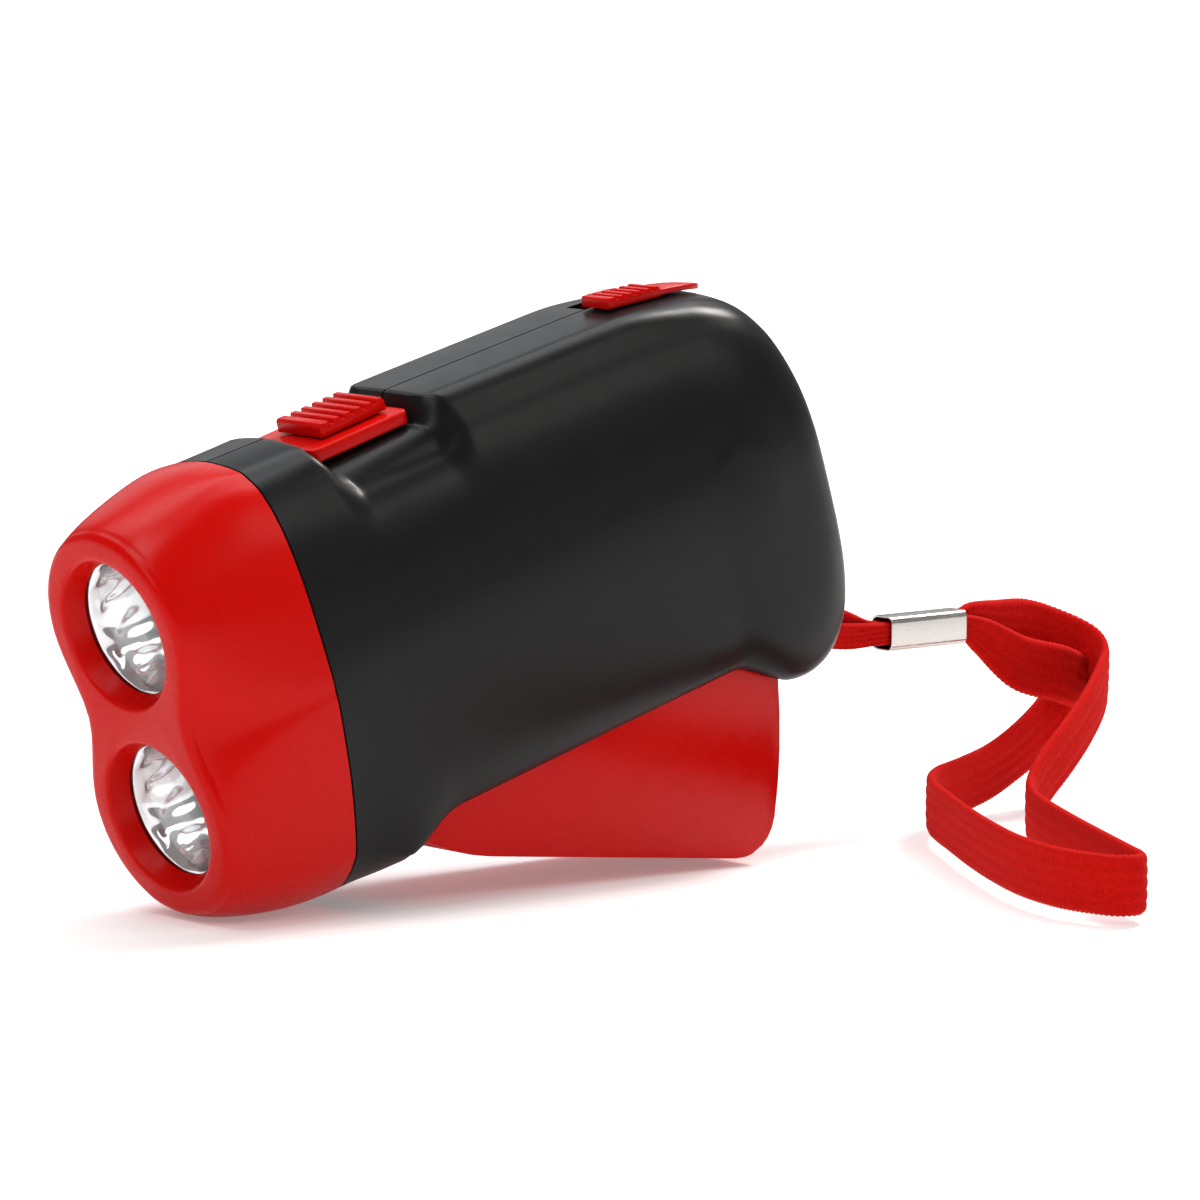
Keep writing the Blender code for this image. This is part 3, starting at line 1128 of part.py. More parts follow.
def lock_slider():
    half = LOCK_HALF_WIDTH
    outline = ribbed_outline(LOCK_BLOCK_LENGTH, LOCK_HEIGHT, LOCK_RIB_DEPTH, LOCK_RIBS, LOCK_LEAD_LENGTH)
    lock = slab("lock_slider", [[lock_frame_point(u, v) for u, v in outline]], -half, half)
    sections = []
    for run_share, width_share, rise_share in LOCK_BEAK_SHARES:
        run = LOCK_BLOCK_LENGTH - LOCK_RIB_DEPTH + run_share * LOCK_BEAK_LENGTH
        top = mix(LOCK_BEAK_HEIGHT, LOCK_HEIGHT - LOCK_RIB_DEPTH, rise_share)
        wide, low = half * width_share, GAP / 2
        section = [(-wide, low), (wide, low), (wide, top), (-wide, top)]
        sections.append([(lock_frame_point(run, v)[0], y, lock_frame_point(run, v)[1]) for y, v in section])
    join(lock, loft("beak", sections, True, True))
    foot_front, foot_rear = LOCK_STEM_RUN - GAP, LOCK_STEM_RUN + LOCK_FOOT_LENGTH
    foot_low = LOCK_FOOT_RISE - LOCK_FOOT_THICK
    foot = [lock_frame_point(u, v) for u, v in (
        (foot_front, LOCK_FOOT_RISE), (foot_rear, LOCK_FOOT_RISE), (foot_rear, foot_low), (foot_front, foot_low))]
    join(lock, slab("foot", [foot], -LOCK_FOOT_HALF_WIDTH, LOCK_FOOT_HALF_WIDTH))
    leg_front, leg_rear = LOCK_LEG_X - LOCK_LEG_THICK / 2, LOCK_LEG_X + LOCK_LEG_THICK / 2
    hook_top, hook_low = LOCK_HOOK_Z + LOCK_HOOK_HEIGHT / 2, LOCK_HOOK_Z - LOCK_HOOK_HEIGHT / 2
    tip = leg_front - LOCK_HOOK_LENGTH
    into = LOCK_HEIGHT / 4
    bottom = foot_low - GAP / 2
    leg = [lock_frame_point(LOCK_STEM_RUN, into), lock_frame_point(LOCK_STEM_RUN, bottom),
           lock_frame_point(LOCK_STEM_RUN + LOCK_ARM_RUN, bottom), (leg_front, LOCK_ELBOW_Z), (leg_front, hook_top),
           (tip, LOCK_HOOK_Z + LOCK_HOOK_HEIGHT / 4), (tip, hook_low), (leg_rear, hook_low), (leg_rear, LOCK_ELBOW_Z + LOCK_LEG_THICK / 2),
           lock_frame_point(LOCK_STEM_RUN + LOCK_STEM_LENGTH, LOCK_FOOT_RISE - GAP / 2), lock_frame_point(LOCK_STEM_RUN + LOCK_STEM_LENGTH, into)]
    return join(lock, slab("leg", [leg], -LOCK_STEM_HALF_WIDTH, LOCK_STEM_HALF_WIDTH))


def housing_screw(number, place):
    """A countersunk screw whose head seats in the far half and whose shank bites the near half."""
    seat = SCREW_SEATS[place] + GAP
    name = f"housing_screw_{number}"
    screw = rod(name, place, -SCREW_BITE, seat + SCREW_HEAD_HEIGHT / 2, SCREW_RADIUS, "Y", 12)
    join(screw, rod("head", place, seat, seat + SCREW_HEAD_HEIGHT, SCREW_HEAD_RADIUS, "Y", 16))
    slot_half = SCREW_RADIUS / 4
    face = seat + SCREW_HEAD_HEIGHT
    for wide, tall in ((SCREW_RADIUS, slot_half), (slot_half, SCREW_RADIUS)):
        cut(screw, box("slot", (place[0] - wide, face - SCREW_SLOT_DEPTH, place[1] - tall),
                       (place[0] + wide, face + OVERRUN, place[1] + tall)))
    return screw


# Strap and ferrule, in the standing frame

def standing(x, z, tilt):
    return (x * cos(tilt) - z * sin(tilt), x * sin(tilt) + z * cos(tilt))


def strap_route(tilt, floor):
    """The strap's closed route: points with the width share and the direction of the width at each."""
    post = standing(STRAP_POST_X, STRAP_POST_Z, tilt)
    reach = STRAP_POST_RADIUS + GAP + STRAP_THICK / 2
    stops = [(Vector((x * mm, y * mm, floor + height * mm)), share, radians(turn))
             for x, y, height, share, turn in STRAP_ROUTE]
    for angle in STRAP_POST_ANGLES:
        x, z = polar(reach, radians(angle), post)
        stops.append((Vector((x, 0.0, z)), STRAP_ROUTE[0][3], None))
    points = []
    for i, (place, share, turn) in enumerate(stops):
        tangent = stops[(i + 1) % len(stops)][0] - stops[i - 1][0]
        tangent.normalize()
        across = Vector((0.0, -1.0, 0.0))
        if turn is not None:
            level = tangent.cross(Vector((0.0, 0.0, 1.0)))
            level.normalize()
            across = level.cross(tangent) * cos(turn) + level * sin(turn)
        points.append((*place, share, *across))
    return points


def strap_sections(points):
    """Flat rounded sections square to the route."""
    path = curve_through([points[-1]] + points + points[:2], STRAP_STEPS)
    path = path[STRAP_STEPS:STRAP_STEPS * (len(points) + 1)]
    sections = []
    for i, point in enumerate(path):
        tangent = Vector(path[(i + 1) % len(path)][:3]) - Vector(path[i - 1][:3])
        tangent.normalize()
        across = Vector(point[4:])
        across -= tangent * tangent.dot(across)
        across.normalize()
        flat = tangent.cross(across)
        half_width, half_thick = STRAP_WIDTH * point[3] / 2, STRAP_THICK / 2
        edge = half_thick * STRAP_EDGE_SHARE
        corners = ((half_width, 0.0), (half_width - edge, half_thick), (edge - half_width, half_thick))
        corners += tuple((-u, -v) for u, v in corners)
        sections.append([tuple(Vector(point[:3]) + across * u + flat * v) for u, v in corners])
    return sections


def wrist_strap(tilt, floor):
    sections = strap_sections(strap_route(tilt, floor))
    count = len(sections[0])
    points = [point for section in sections for point in section]
    faces = []
    for s in range(len(sections)):
        for i in range(count):
            a, b = s * count + i, s * count + (i + 1) % count
            c = (s + 1) % len(sections) * count
            faces.append((a, b, c + (i + 1) % count, c + i))
    return outward(from_faces("wrist_strap", points, faces))


def strap_ferrule(floor):
    outer = rounded_box_outline(FERRULE_HALF_WIDTH, FERRULE_HALF_HEIGHT, FERRULE_ROUND)
    inner = rounded_box_outline(FERRULE_HALF_WIDTH - FERRULE_WALL, FERRULE_HALF_HEIGHT - FERRULE_WALL, FERRULE_ROUND - FERRULE_WALL)
    centre = floor + FERRULE_HEIGHT
    outlines = [[(y, z + centre) for y, z in outline] for outline in (outer, inner)]
    return slab("strap_ferrule", outlines, FERRULE_X - FERRULE_LENGTH / 2, FERRULE_X + FERRULE_LENGTH / 2, "X")


# Materials, placement and the whole torch

def painted(obj, material):
    obj.data.materials.clear()
    obj.data.materials.append(material)
    return obj


def material(name, colour, roughness, metallic):
    made = bpy.data.materials.new(name)
    made.use_nodes = True
    shader = made.node_tree.nodes["Principled BSDF"]
    shader.inputs["Base Color"].default_value = (*colour, 1.0)
    shader.inputs["Roughness"].default_value = roughness
    shader.inputs["Metallic"].default_value = metallic
    return made


def set_origin(obj, point):
    obj.data.transform(Matrix.Translation(Vector(point) * -1.0))
    obj.location = point
    return obj


def lowest(points, tilt):
    return min(standing(x, z, tilt)[1] for x, z in points)


def standing_tilt():
    """The tilt at which the head's bottom and the lever's rear corner reach the same level."""
    head = [(x, z) for x, _, z in (head_point(HEAD_FULL_X + share * HEAD_LENGTH, 0, -1) for share in (0.0,) + HEAD_STATION_SHARES)]
    lever = lever_outline(0.0)
    low, high = 0.0, LEVER_REST_ANGLE
    for _ in range(BISECTIONS):
        middle = (low + high) / 2
        if lowest(lever, middle) < lowest(head, middle):
            low = middle
        else:
            high = middle
    return (low + high) / 2


def empty(name, parent=None):
    made = bpy.data.objects.new(name, None)
    made.empty_display_size = LOCK_HALF_WIDTH
    bpy.data.collections[GUIDES].objects.link(made)
    made.parent = parent
    return made


def turned_body():
    """Every piece of the torch in the body frame, with the finish of each."""
    red, black, chrome, clear = RED, BLACK, CHROME, CLEAR
    upper, lower = LAMP_SPACING / 2, -LAMP_SPACING / 2
    pieces = [(housing_half("left_housing", -1), black), (housing_half("right_housing", 1), black), (head_bezel(), red)]
    pieces += [(lens("upper_lens", upper), clear), (lens("lower_lens", lower), clear)]
    pieces += [(reflector("upper_reflector", upper), chrome), (reflector("lower_reflector", lower), chrome)]
    pieces += [(led("upper_led", upper), LAMP), (led("lower_led", lower), LAMP), (led_board(), BOARD)]
    pieces += [(switch_plate(), red), (set_origin(switch_button(), (BUTTON_MIDDLE_X, 0.0, PLATE_TOP_Z + GAP)), red)]
    pieces += [(slide_switch(), STEEL), (circuit_board(), BOARD), (battery_stack(), STEEL)]
    pieces += [(battery_contact("near_contact", -1), BRASS), (battery_contact("far_contact", 1), BRASS)]
    pivot = (PIVOT_X, 0.0, PIVOT_Z)
    pieces += [(set_origin(squeeze_lever(), pivot), red), (lever_pin(), STEEL), (set_origin(return_spring(), pivot), STEEL)]
    first, second, third = ((x, 0.0, z) for x, z in (GEAR_1, GEAR_2, GEAR_3))
    pieces += [(set_origin(drive_pinion(), first), BRASS), (set_origin(drive_wheel(), first), NYLON)]
    pieces += [(set_origin(second_gear(), second), NYLON), (set_origin(rotor(), third), STEEL)]
    pieces += [(set_origin(rotor_magnet(), third), MAGNET)]
    pieces += [(shaft("drive_shaft", GEAR_1, DRIVE_BOSS_NEAR_Y, DRIVE_BOSS_FAR_Y, SHAFT_RADIUS, SHAFT_EMBED), STEEL)]
    pieces += [(shaft("second_shaft", GEAR_2, SECOND_BOSS_NEAR_Y, SECOND_BOSS_FAR_Y, SHAFT_RADIUS, SHAFT_EMBED), STEEL)]
    pieces += [(shaft("rotor_shaft", GEAR_3, ROTOR_BOSS_NEAR_Y, ROTOR_BOSS_FAR_Y, ROTOR_SHAFT_RADIUS, SHAFT_EMBED), STEEL)]
    pieces += [(stator_plate("inner_stator", STATOR_Y), STEEL)]
    pieces += [(stator_plate("outer_stator", STATOR_END_Y - STATOR_PLATE_THICK), STEEL), (coil_winding(), COPPER)]
    pieces += [(set_origin(lock_slider(), (LOCK_X, 0.0, deck_height(LOCK_X) + LOCK_LIFT)), red)]
    pieces += [(housing_screw(k + 1, place), STEEL) for k, place in enumerate(SCREW_PLACES)]
    return pieces


def build():
    clear_scene()
    collection(PARTS)
    guides = collection(GUIDES)
    guides.hide_render = True
    tilt = standing_tilt()
    pieces = turned_body()
    stand = empty("standing_frame")
    body = empty("body_frame", stand)
    body.rotation_euler = (0.0, -tilt, 0.0)
    for obj, _ in pieces:
        obj.parent = body
    bpy.context.view_layer.update()
    corners = [obj.matrix_world @ vertex.co for obj, _ in pieces for vertex in obj.data.vertices]
    low = [min(corner[axis] for corner in corners) for axis in range(3)]
    high = [max(corner[axis] for corner in corners) for axis in range(3)]
    floor = low[2]
    for obj, finish in ((wrist_strap(tilt, floor), BRAID), (strap_ferrule(floor), CHROME)):
        obj.parent = stand
        pieces.append((obj, finish))
    stand.location = (-(low[0] + high[0]) / 2, -(low[1] + high[1]) / 2, -floor)
    for obj, finish in pieces:
        painted(obj, material(obj.name, *finish))
    bpy.context.view_layer.update()


if __name__ == "__main__":
    build()
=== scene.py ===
"""Looks of the hand squeeze torch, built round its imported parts."""

import json
from math import atan2, cos, hypot, pi, radians, sin

import bpy
import numpy as np
from mathutils import Matrix, Vector

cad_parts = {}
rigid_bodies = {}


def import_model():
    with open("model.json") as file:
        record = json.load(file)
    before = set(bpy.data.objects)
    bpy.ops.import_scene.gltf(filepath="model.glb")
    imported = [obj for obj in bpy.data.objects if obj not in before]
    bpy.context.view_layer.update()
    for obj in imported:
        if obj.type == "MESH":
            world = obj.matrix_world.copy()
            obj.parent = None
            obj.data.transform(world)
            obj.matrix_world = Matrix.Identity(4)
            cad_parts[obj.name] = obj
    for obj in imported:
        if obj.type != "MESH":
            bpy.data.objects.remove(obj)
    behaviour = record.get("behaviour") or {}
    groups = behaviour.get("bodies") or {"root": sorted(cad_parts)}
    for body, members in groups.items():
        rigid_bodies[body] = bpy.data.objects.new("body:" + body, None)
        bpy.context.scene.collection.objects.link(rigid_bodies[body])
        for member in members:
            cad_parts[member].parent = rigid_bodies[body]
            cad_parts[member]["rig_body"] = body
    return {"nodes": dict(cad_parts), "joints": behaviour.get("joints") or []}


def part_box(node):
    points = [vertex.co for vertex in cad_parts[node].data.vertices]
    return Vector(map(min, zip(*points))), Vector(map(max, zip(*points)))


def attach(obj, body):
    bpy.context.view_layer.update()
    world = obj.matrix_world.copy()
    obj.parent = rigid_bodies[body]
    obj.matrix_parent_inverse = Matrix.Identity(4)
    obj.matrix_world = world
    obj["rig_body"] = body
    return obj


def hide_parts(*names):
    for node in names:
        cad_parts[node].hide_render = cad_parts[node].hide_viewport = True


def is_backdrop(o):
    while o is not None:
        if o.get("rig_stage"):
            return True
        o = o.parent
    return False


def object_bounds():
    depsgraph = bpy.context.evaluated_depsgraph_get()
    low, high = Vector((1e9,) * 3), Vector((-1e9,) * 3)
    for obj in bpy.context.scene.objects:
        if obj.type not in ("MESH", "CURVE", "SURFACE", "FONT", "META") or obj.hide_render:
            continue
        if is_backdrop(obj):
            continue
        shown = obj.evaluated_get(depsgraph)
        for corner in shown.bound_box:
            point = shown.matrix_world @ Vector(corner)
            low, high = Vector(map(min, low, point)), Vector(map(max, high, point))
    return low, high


mm = 0.001

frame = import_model()
cad_low, cad_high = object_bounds()

# Where the torch stands: its own axes run along the body, the frame's along the floor
JOINTS = {joint["name"]: joint for joint in frame["joints"]}
PIVOT = (27.0 * mm, -17.0 * mm)
SLIDE = JOINTS["switch_slide"]["axis"]
TILT = atan2(-SLIDE[2], -SLIDE[0])
TURN = Matrix.Rotation(-TILT, 4, "Y")
HINGE = Vector(JOINTS["lever_swing"]["pos_m"])
STAND = Matrix.Translation(HINGE - TURN @ Vector((PIVOT[0], 0.0, PIVOT[1]))) @ TURN

# Camera
CAMERA_PLACE = (-0.67779, -0.83812, 0.17146)
CAMERA_TURN = (radians(82.961), radians(-0.243), radians(-39.971))
CAMERA_LENS = 240.0
CAMERA_SENSOR = 36.0

# Floor and room
FLOOR_SIZE = 16.0
ROOM_STRENGTH = 0.2

# Strap, with the route's points as (x, y, height above the floor, width share, turn)
STRAP_WIDTH = 8.4 * mm
STRAP_THICK = 1.5 * mm
STRAP_POST = (108.3 * mm, -24.0 * mm)
STRAP_POST_REACH = 2.55 * mm
STRAP_POST_ANGLES = (250.0, 215.0, 180.0, 145.0, 110.0)
STRAP_SHIFT = -54.282 * mm
STRAP_ROUTE = (
    (111.4, 0.0, 35.5, 0.60, 90), (114.0, 0.0, 35.0, 0.60, 84), (117.2, 0.2, 33.1, 0.58, 66),
    (121.0, 0.5, 31.0, 0.56, 44), (125.4, 0.75, 29.3, 0.50, 22), (130.0, 0.85, 27.9, 0.41, 4),
    (135.0, 0.85, 27.6, 0.39, 0), (140.0, 0.85, 27.6, 0.39, 0), (146.4, 0.85, 27.6, 0.40, 0),
    (150.0, 1.2, 27.9, 0.66, 0), (156.4, 2.2, 26.5, 0.95, 0), (162.5, 3.2, 25.8, 1.0, 0),
    (167.8, 2.9, 24.1, 1.0, 0), (171.6, 0.2, 21.9, 1.0, 0), (171.4, -4.2, 19.5, 1.0, 0),
    (166.6, -8.8, 17.6, 1.0, 0), (159.6, -13.4, 14.6, 1.0, 0), (152.0, -17.4, 11.4, 1.0, 0),
    (144.6, -20.6, 8.0, 1.0, 0), (139.2, -23.8, 5.4, 1.0, 0), (134.6, -29.2, 4.5, 1.0, 0),
    (128.7, -38.2, 4.5, 1.0, 0), (121.0, -52.1, 4.5, 1.0, 0), (113.7, -66.2, 4.5, 1.0, 0),
    (108.9, -75.6, 4.5, 1.0, 0), (106.4, -80.4, 4.5, 1.0, 0), (104.0, -82.0, 4.5, 1.0, 0),
    (101.6, -80.9, 4.5, 1.0, 0), (100.4, -77.4, 4.5, 1.0, 0), (100.2, -70.5, 4.5, 1.0, 0),
    (103.0, -60.6, 4.5, 1.0, 0), (108.2, -49.6, 4.5, 1.0, 0), (114.6, -38.0, 4.5, 1.0, 0),
    (122.2, -25.4, 4.5, 1.0, 0), (129.0, -14.6, 4.5, 1.0, 0), (136.6, -6.4, 4.5, 1.0, 0),
    (146.4, -1.4, 4.7, 1.0, 0), (154.6, 1.4, 5.7, 1.0, 0), (162.4, 3.6, 8.0, 1.0, 0),
    (169.0, 4.6, 11.2, 1.0, 0), (172.2, 2.6, 14.6, 1.0, 0), (170.4, -0.8, 17.2, 1.0, 0),
    (164.8, -2.2, 19.4, 1.0, 0), (157.4, -1.8, 21.5, 0.95, 0), (150.6, -1.1, 25.8, 0.66, 0),
    (146.4, -0.85, 27.6, 0.40, 0), (140.0, -0.85, 27.6, 0.39, 0), (135.0, -0.85, 27.6, 0.39, 0),
    (130.0, -0.85, 27.7, 0.41, -4), (125.2, -0.8, 27.8, 0.50, -22), (120.4, -0.5, 28.4, 0.56, -44),
    (116.6, -0.2, 29.2, 0.58, -66), (113.6, 0.0, 30.3, 0.60, -84), (111.4, 0.0, 30.4, 0.60, -90),
)
BRAID_RIBS = 5
BRAID_STEP = 0.2 * mm
STITCH = 0.8 * mm
STITCH_DEPTH = 0.07 * mm
RIB_DEPTH = 0.16 * mm
STRAP_LINE_STEPS = 40
BRAID_SLANT = 0.9
EDGE_POWER = 6

# Housing, in the torch's own axes: x from the front of the head, z up, y across
SEAM_HALF = 0.15 * mm
WALL = 1.8 * mm
JOINT_X = 21.0 * mm
REAR_X = 116.0 * mm
TOP_Z = 29.7 * mm
CHIN_Z = 31.5 * mm
LIP_Z = 25.3 * mm
HEEL_Z = 31.0 * mm
HALF_THICK = 16.8 * mm
TOP_SLOPE = 0.032
TOP_FALL = 0.67 * mm
TOP_FALL_START_X, TOP_FALL_END_X = 84.0 * mm, 96.5 * mm
CORE_END_X = 90.0 * mm
PALM_START_X, PALM_FADE_X, PALM_END_X = 56.0 * mm, 86.0 * mm, 106.0 * mm
CHIN_END_X = 36.0 * mm
LIP_FRONT_X, LIP_REAR_X = 40.0 * mm, 90.0 * mm
RING_Y_SHARES = (0.0, 0.38, 0.52, 0.61, 0.68, 0.765, 0.85, 0.935, 1.0)
HUMP_SHARES = (0.0, 0.023, 0.06, 0.097, 0.147, 0.233, 0.367, 0.597, 0.94)
PALM_SHARES = (0.0, 0.003, 0.013, 0.059, 0.147, 0.233, 0.367, 0.597, 0.94)
CHIN_ROUND_SHARES = (0.0, 0.028, 0.072, 0.116, 0.157, 0.226, 0.377, 0.59, 0.88)
LIP_ROUND_SHARES = (0.0, 0.0, 0.0, 0.0, 0.004, 0.015, 0.08, 0.28, 0.8)
REAR_ROUND_SHARES = (0.0, 0.009, 0.026, 0.048, 0.071, 0.109, 0.177, 0.306, 0.577)
REAR_TOP_SHARES = ((0.878, 0.862), (0.926, 0.772), (0.964, 0.602), (0.988, 0.355), (0.9975, 0.11))
REAR_LOW_SHARES = ((1.0, -0.13), (0.9966, -0.42), (0.987, -0.65), (0.968, -0.83), (0.935, -0.955),
                   (0.897, -1.0), (0.858, -0.985), (0.828, -0.925), (0.802, -0.86))
CHIN_SHARES = ((0.316, -0.835), (0.295, -0.88), (0.273, -0.955), (0.248, -1.008))
DIP_FRONT_X, DIP_REAR_X = 31.0 * mm, 51.9 * mm
DIP_FLOOR_Z = 25.2 * mm
DIP_RAMP, DIP_SIDE_RAMP = 1.7 * mm, 5.4 * mm
DIP_FADE_SHARES = (1.0, 1.0, 1.0, 0.97, 0.85, 0.6, 0.3, 0.08, 0.0)
DIP_INNER_FADE_SHARES = (1.0, 1.0, 1.0, 1.0, 0.95, 0.75, 0.45, 0.15, 0.0)
DIP_RAMP_SHARES = (0.0, 0.0, 0.4, 0.75, 1.0, 1.0, 1.0, 1.0, 1.0)
RING_STEPS = 4
OUTLINE_STEP = 0.5 * mm

# Openings of the housing
OPENING = ((29.8 * mm, 100.8 * mm), 12.3 * mm, (-40.0 * mm, -18.0 * mm))
STRAP_SLOT = ((104.0 * mm, 122.0 * mm), 5.2 * mm, (-29.2 * mm, -19.8 * mm))
LOCK_SLOT_X = (88.1 * mm, 98.5 * mm)
LOCK_SLOT_Y = (0.05 * mm, 4.05 * mm)
POST_RADIUS = 1.5 * mm
POST_Y = (-10.4 * mm, 6.6 * mm)
SCREW_PLACES = ((29.2 * mm, 18.8 * mm), (62.0 * mm, 20.0 * mm), (107.6 * mm, 8.0 * mm),
                (104.0 * mm, -13.0 * mm))
SCREW_BOSS_RADIUS = 2.9 * mm
SCREW_SEAT_RISE = 7 * mm
SCREW_HOLE_RADIUS = 2.5 * mm
SCREW_NODES = ("housing_screw_1", "housing_screw_2", "housing_screw_3", "housing_screw_4")

# Head and lamps
HEAD_FULL_X = 1.3 * mm
HEAD_LIP = 1.4 * mm
HEAD_BULGE = 0.55 * mm
HEAD_SWELL_SHARE = 0.75
HEAD_WALL = 1.8 * mm
LAMP_SPACING = 25.74 * mm
LOBE_RADIUS = 14.3 * mm
WAIST_HALF = 11.2 * mm
LOBE_ANGLES = (90.0, 70.0, 58.0, 47.0, 37.0, 26.0, 13.0, -2.0, -18.0)
RIM_RADIUS, WINDOW_RADIUS, WINDOW_DEPTH = 10.5 * mm, 9.2 * mm, 2.9 * mm
RIM_ROUND = 0.5 * mm
LAMP_BORE, LAMP_TUBE_END_X = 10.1 * mm, 14.0 * mm
LENS_X, LENS_THICK = 2.95 * mm, 0.8 * mm
REFLECTOR_X, REFLECTOR_END_X, REFLECTOR_THROAT, REFLECTOR_WALL = 3.85 * mm, 12.6 * mm, 3.1 * mm, 0.7 * mm
LED_REAR_X, LED_LENGTH, LED_RADIUS, LED_FLANGE = 14.3 * mm, 6.8 * mm, 2.5 * mm, 2.9 * mm

# Switch and lock
PLATE_X = (33.0 * mm, 49.9 * mm)
PLATE_HALF_WIDTH, PLATE_CORNER = 7.3 * mm, 1.3 * mm
PLATE_Z = (25.5 * mm, 27.4 * mm)
PLATE_SLOT_X, PLATE_SLOT_HALF, PLATE_SLOT_Z = (-3.4 * mm, 2.4 * mm), 1.8 * mm, (20 * mm, 30 * mm)
BUTTON_X, BUTTON_LENGTH, BUTTON_HALF_WIDTH, BUTTON_HEIGHT = 36.8 * mm, 11.3 * mm, 4.8 * mm, 1.9 * mm
BUTTON_BASE_Z = 27.7 * mm
BUTTON_STEM_HALF, BUTTON_STEM_LOW, BUTTON_STEM_LAP = (2 * mm, 1.3 * mm), 18.4 * mm, 0.2 * mm
BUTTON_RIBS, BUTTON_RIB_DEPTH = 6, 0.7 * mm
LOCK_X, LOCK_TILT, LOCK_LIFT = 88.0 * mm, radians(8.0), 0.45 * mm
LOCK_LENGTH, LOCK_BEAK_LENGTH, LOCK_DROOP = 9.4 * mm, 9.3 * mm, 1.0 * mm
LOCK_HALF_WIDTH, LOCK_MIDDLE_Y, LOCK_HEIGHT = 2.85 * mm, -2.55 * mm, 1.45 * mm
LOCK_RIBS, LOCK_RIB_DEPTH, LOCK_LEAD = 5, 0.45 * mm, 1.5 * mm
LOCK_BEAK_SHARES = ((0.0, 0.96, 1.0), (0.3, 0.9, 0.8), (0.55, 0.8, 0.55), (0.75, 0.62, 0.32),
                    (0.9, 0.4, 0.14), (1.0, 0.15, 0.0))
LOCK_BEAK_HEIGHT, LOCK_BEAK_EDGE, LOCK_BEAK_CROWN_SHARE = 0.9 * mm, 0.15 * mm, 0.92
LOCK_STEM = ((4.7 * mm, 10.2 * mm), (0.45 * mm, 3.65 * mm))
LOCK_FLANGE = ((4.4 * mm, 8.5 * mm), (-2.55 * mm, 4.3 * mm), (0.08 * mm, 0.6 * mm))
LOCK_FOOT_LOW, LOCK_FOOT_THICK, LOCK_FOOT_HALF = -3.75 * mm, 1 * mm, 4 * mm
LOCK_FOOT_OVER = (0.3 * mm, 0.1 * mm)
# The leg reaches from the foot down to the lever: its two starts on the foot, then its corners
LOCK_LEG_START, LOCK_LEG_UNDER, LOCK_LEG_INSIDE, LOCK_LEG_HALF = 0.5 * mm, 0.2 * mm, 0.5 * mm, 1.6 * mm
LOCK_LEG = ((102.1 * mm, 19.0 * mm), (102.1 * mm, 2.1 * mm), (98.9 * mm, 1.55 * mm), (98.9 * mm, -0.1 * mm),
            (103.9 * mm, -0.1 * mm), (103.9 * mm, 19.9 * mm))

# Lever: its rear wall lies this much nearer to the hinge than its solid
LEVER_END_START, LEVER_DRAW_IN = 62.0 * mm, 0.9 * mm

# Ferrule, in the standing frame
FERRULE_X, FERRULE_Z, FERRULE_LENGTH = 139.3 * mm, 27.6 * mm, 14.4 * mm
FERRULE_HALF = (2.2 * mm, 2.5 * mm)
FERRULE_WALL, FERRULE_ROUND = 0.3 * mm, 1.0 * mm


# Tools

def deselect():
    if bpy.context.mode != "OBJECT":
        bpy.ops.object.mode_set(mode="OBJECT")
    bpy.ops.object.select_all(action="DESELECT")


def only(piece):
    deselect()
    piece.select_set(True)
    bpy.context.view_layer.objects.active = piece
    return piece


def named(name):
    piece = bpy.context.object
    piece.name = name
    piece.data.name = name
    return piece


def smooth(piece, angle=radians(35.0)):
    only(piece)
    bpy.ops.object.shade_smooth_by_angle(angle=angle)
    return piece


# Finishes

def principled(name, colour, roughness, metallic=0.0, **sockets):
    """A material with its even values on the shader itself; returns its nodes and links too."""
    material = bpy.data.materials.new(name)
    material.use_nodes = True
    nodes, links = material.node_tree.nodes, material.node_tree.links
    shader = nodes["Principled BSDF"]
    shader.inputs["Base Color"].default_value = (*colour, 1.0)
    shader.inputs["Roughness"].default_value = roughness
    shader.inputs["Metallic"].default_value = metallic
    for socket, value in sockets.items():
        shader.inputs[socket.replace("_", " ")].default_value = value
    material.diffuse_color = (*colour, 1.0)
    return material, nodes, links, shader


def noise(nodes, links, scale, detail=3.0, stretch=None, coordinates="Object"):
    """A noise on the piece's own coordinates, stretched where the grain has a direction."""
    place = nodes.new("ShaderNodeTexCoord")
    texture = nodes.new("ShaderNodeTexNoise")
    texture.inputs["Scale"].default_value = scale
    texture.inputs["Detail"].default_value = detail
    source = place.outputs[coordinates]
    if stretch:
        mapping = nodes.new("ShaderNodeMapping")
        mapping.inputs["Scale"].default_value = stretch
        links.new(source, mapping.inputs["Vector"])
        source = mapping.outputs["Vector"]
    links.new(source, texture.inputs["Vector"])
    return texture.outputs["Fac"]


def spread(nodes, links, source, low, high, start=0.15, end=0.85):
    ranged = nodes.new("ShaderNodeMapRange")
    ranged.inputs["From Min"].default_value = start
    ranged.inputs["From Max"].default_value = end
    ranged.inputs["To Min"].default_value = low
    ranged.inputs["To Max"].default_value = high
    links.new(source, ranged.inputs["Value"])
    return ranged.outputs["Result"]


def shades(nodes, links, source, dark, light, start=0.15, end=0.85):
    ramp = nodes.new("ShaderNodeValToRGB")
    ramp.color_ramp.elements[0].position = start
    ramp.color_ramp.elements[0].color = (*dark, 1.0)
    ramp.color_ramp.elements[1].position = end
    ramp.color_ramp.elements[1].color = (*light, 1.0)
    links.new(source, ramp.inputs["Fac"])
    return ramp.outputs["Color"]


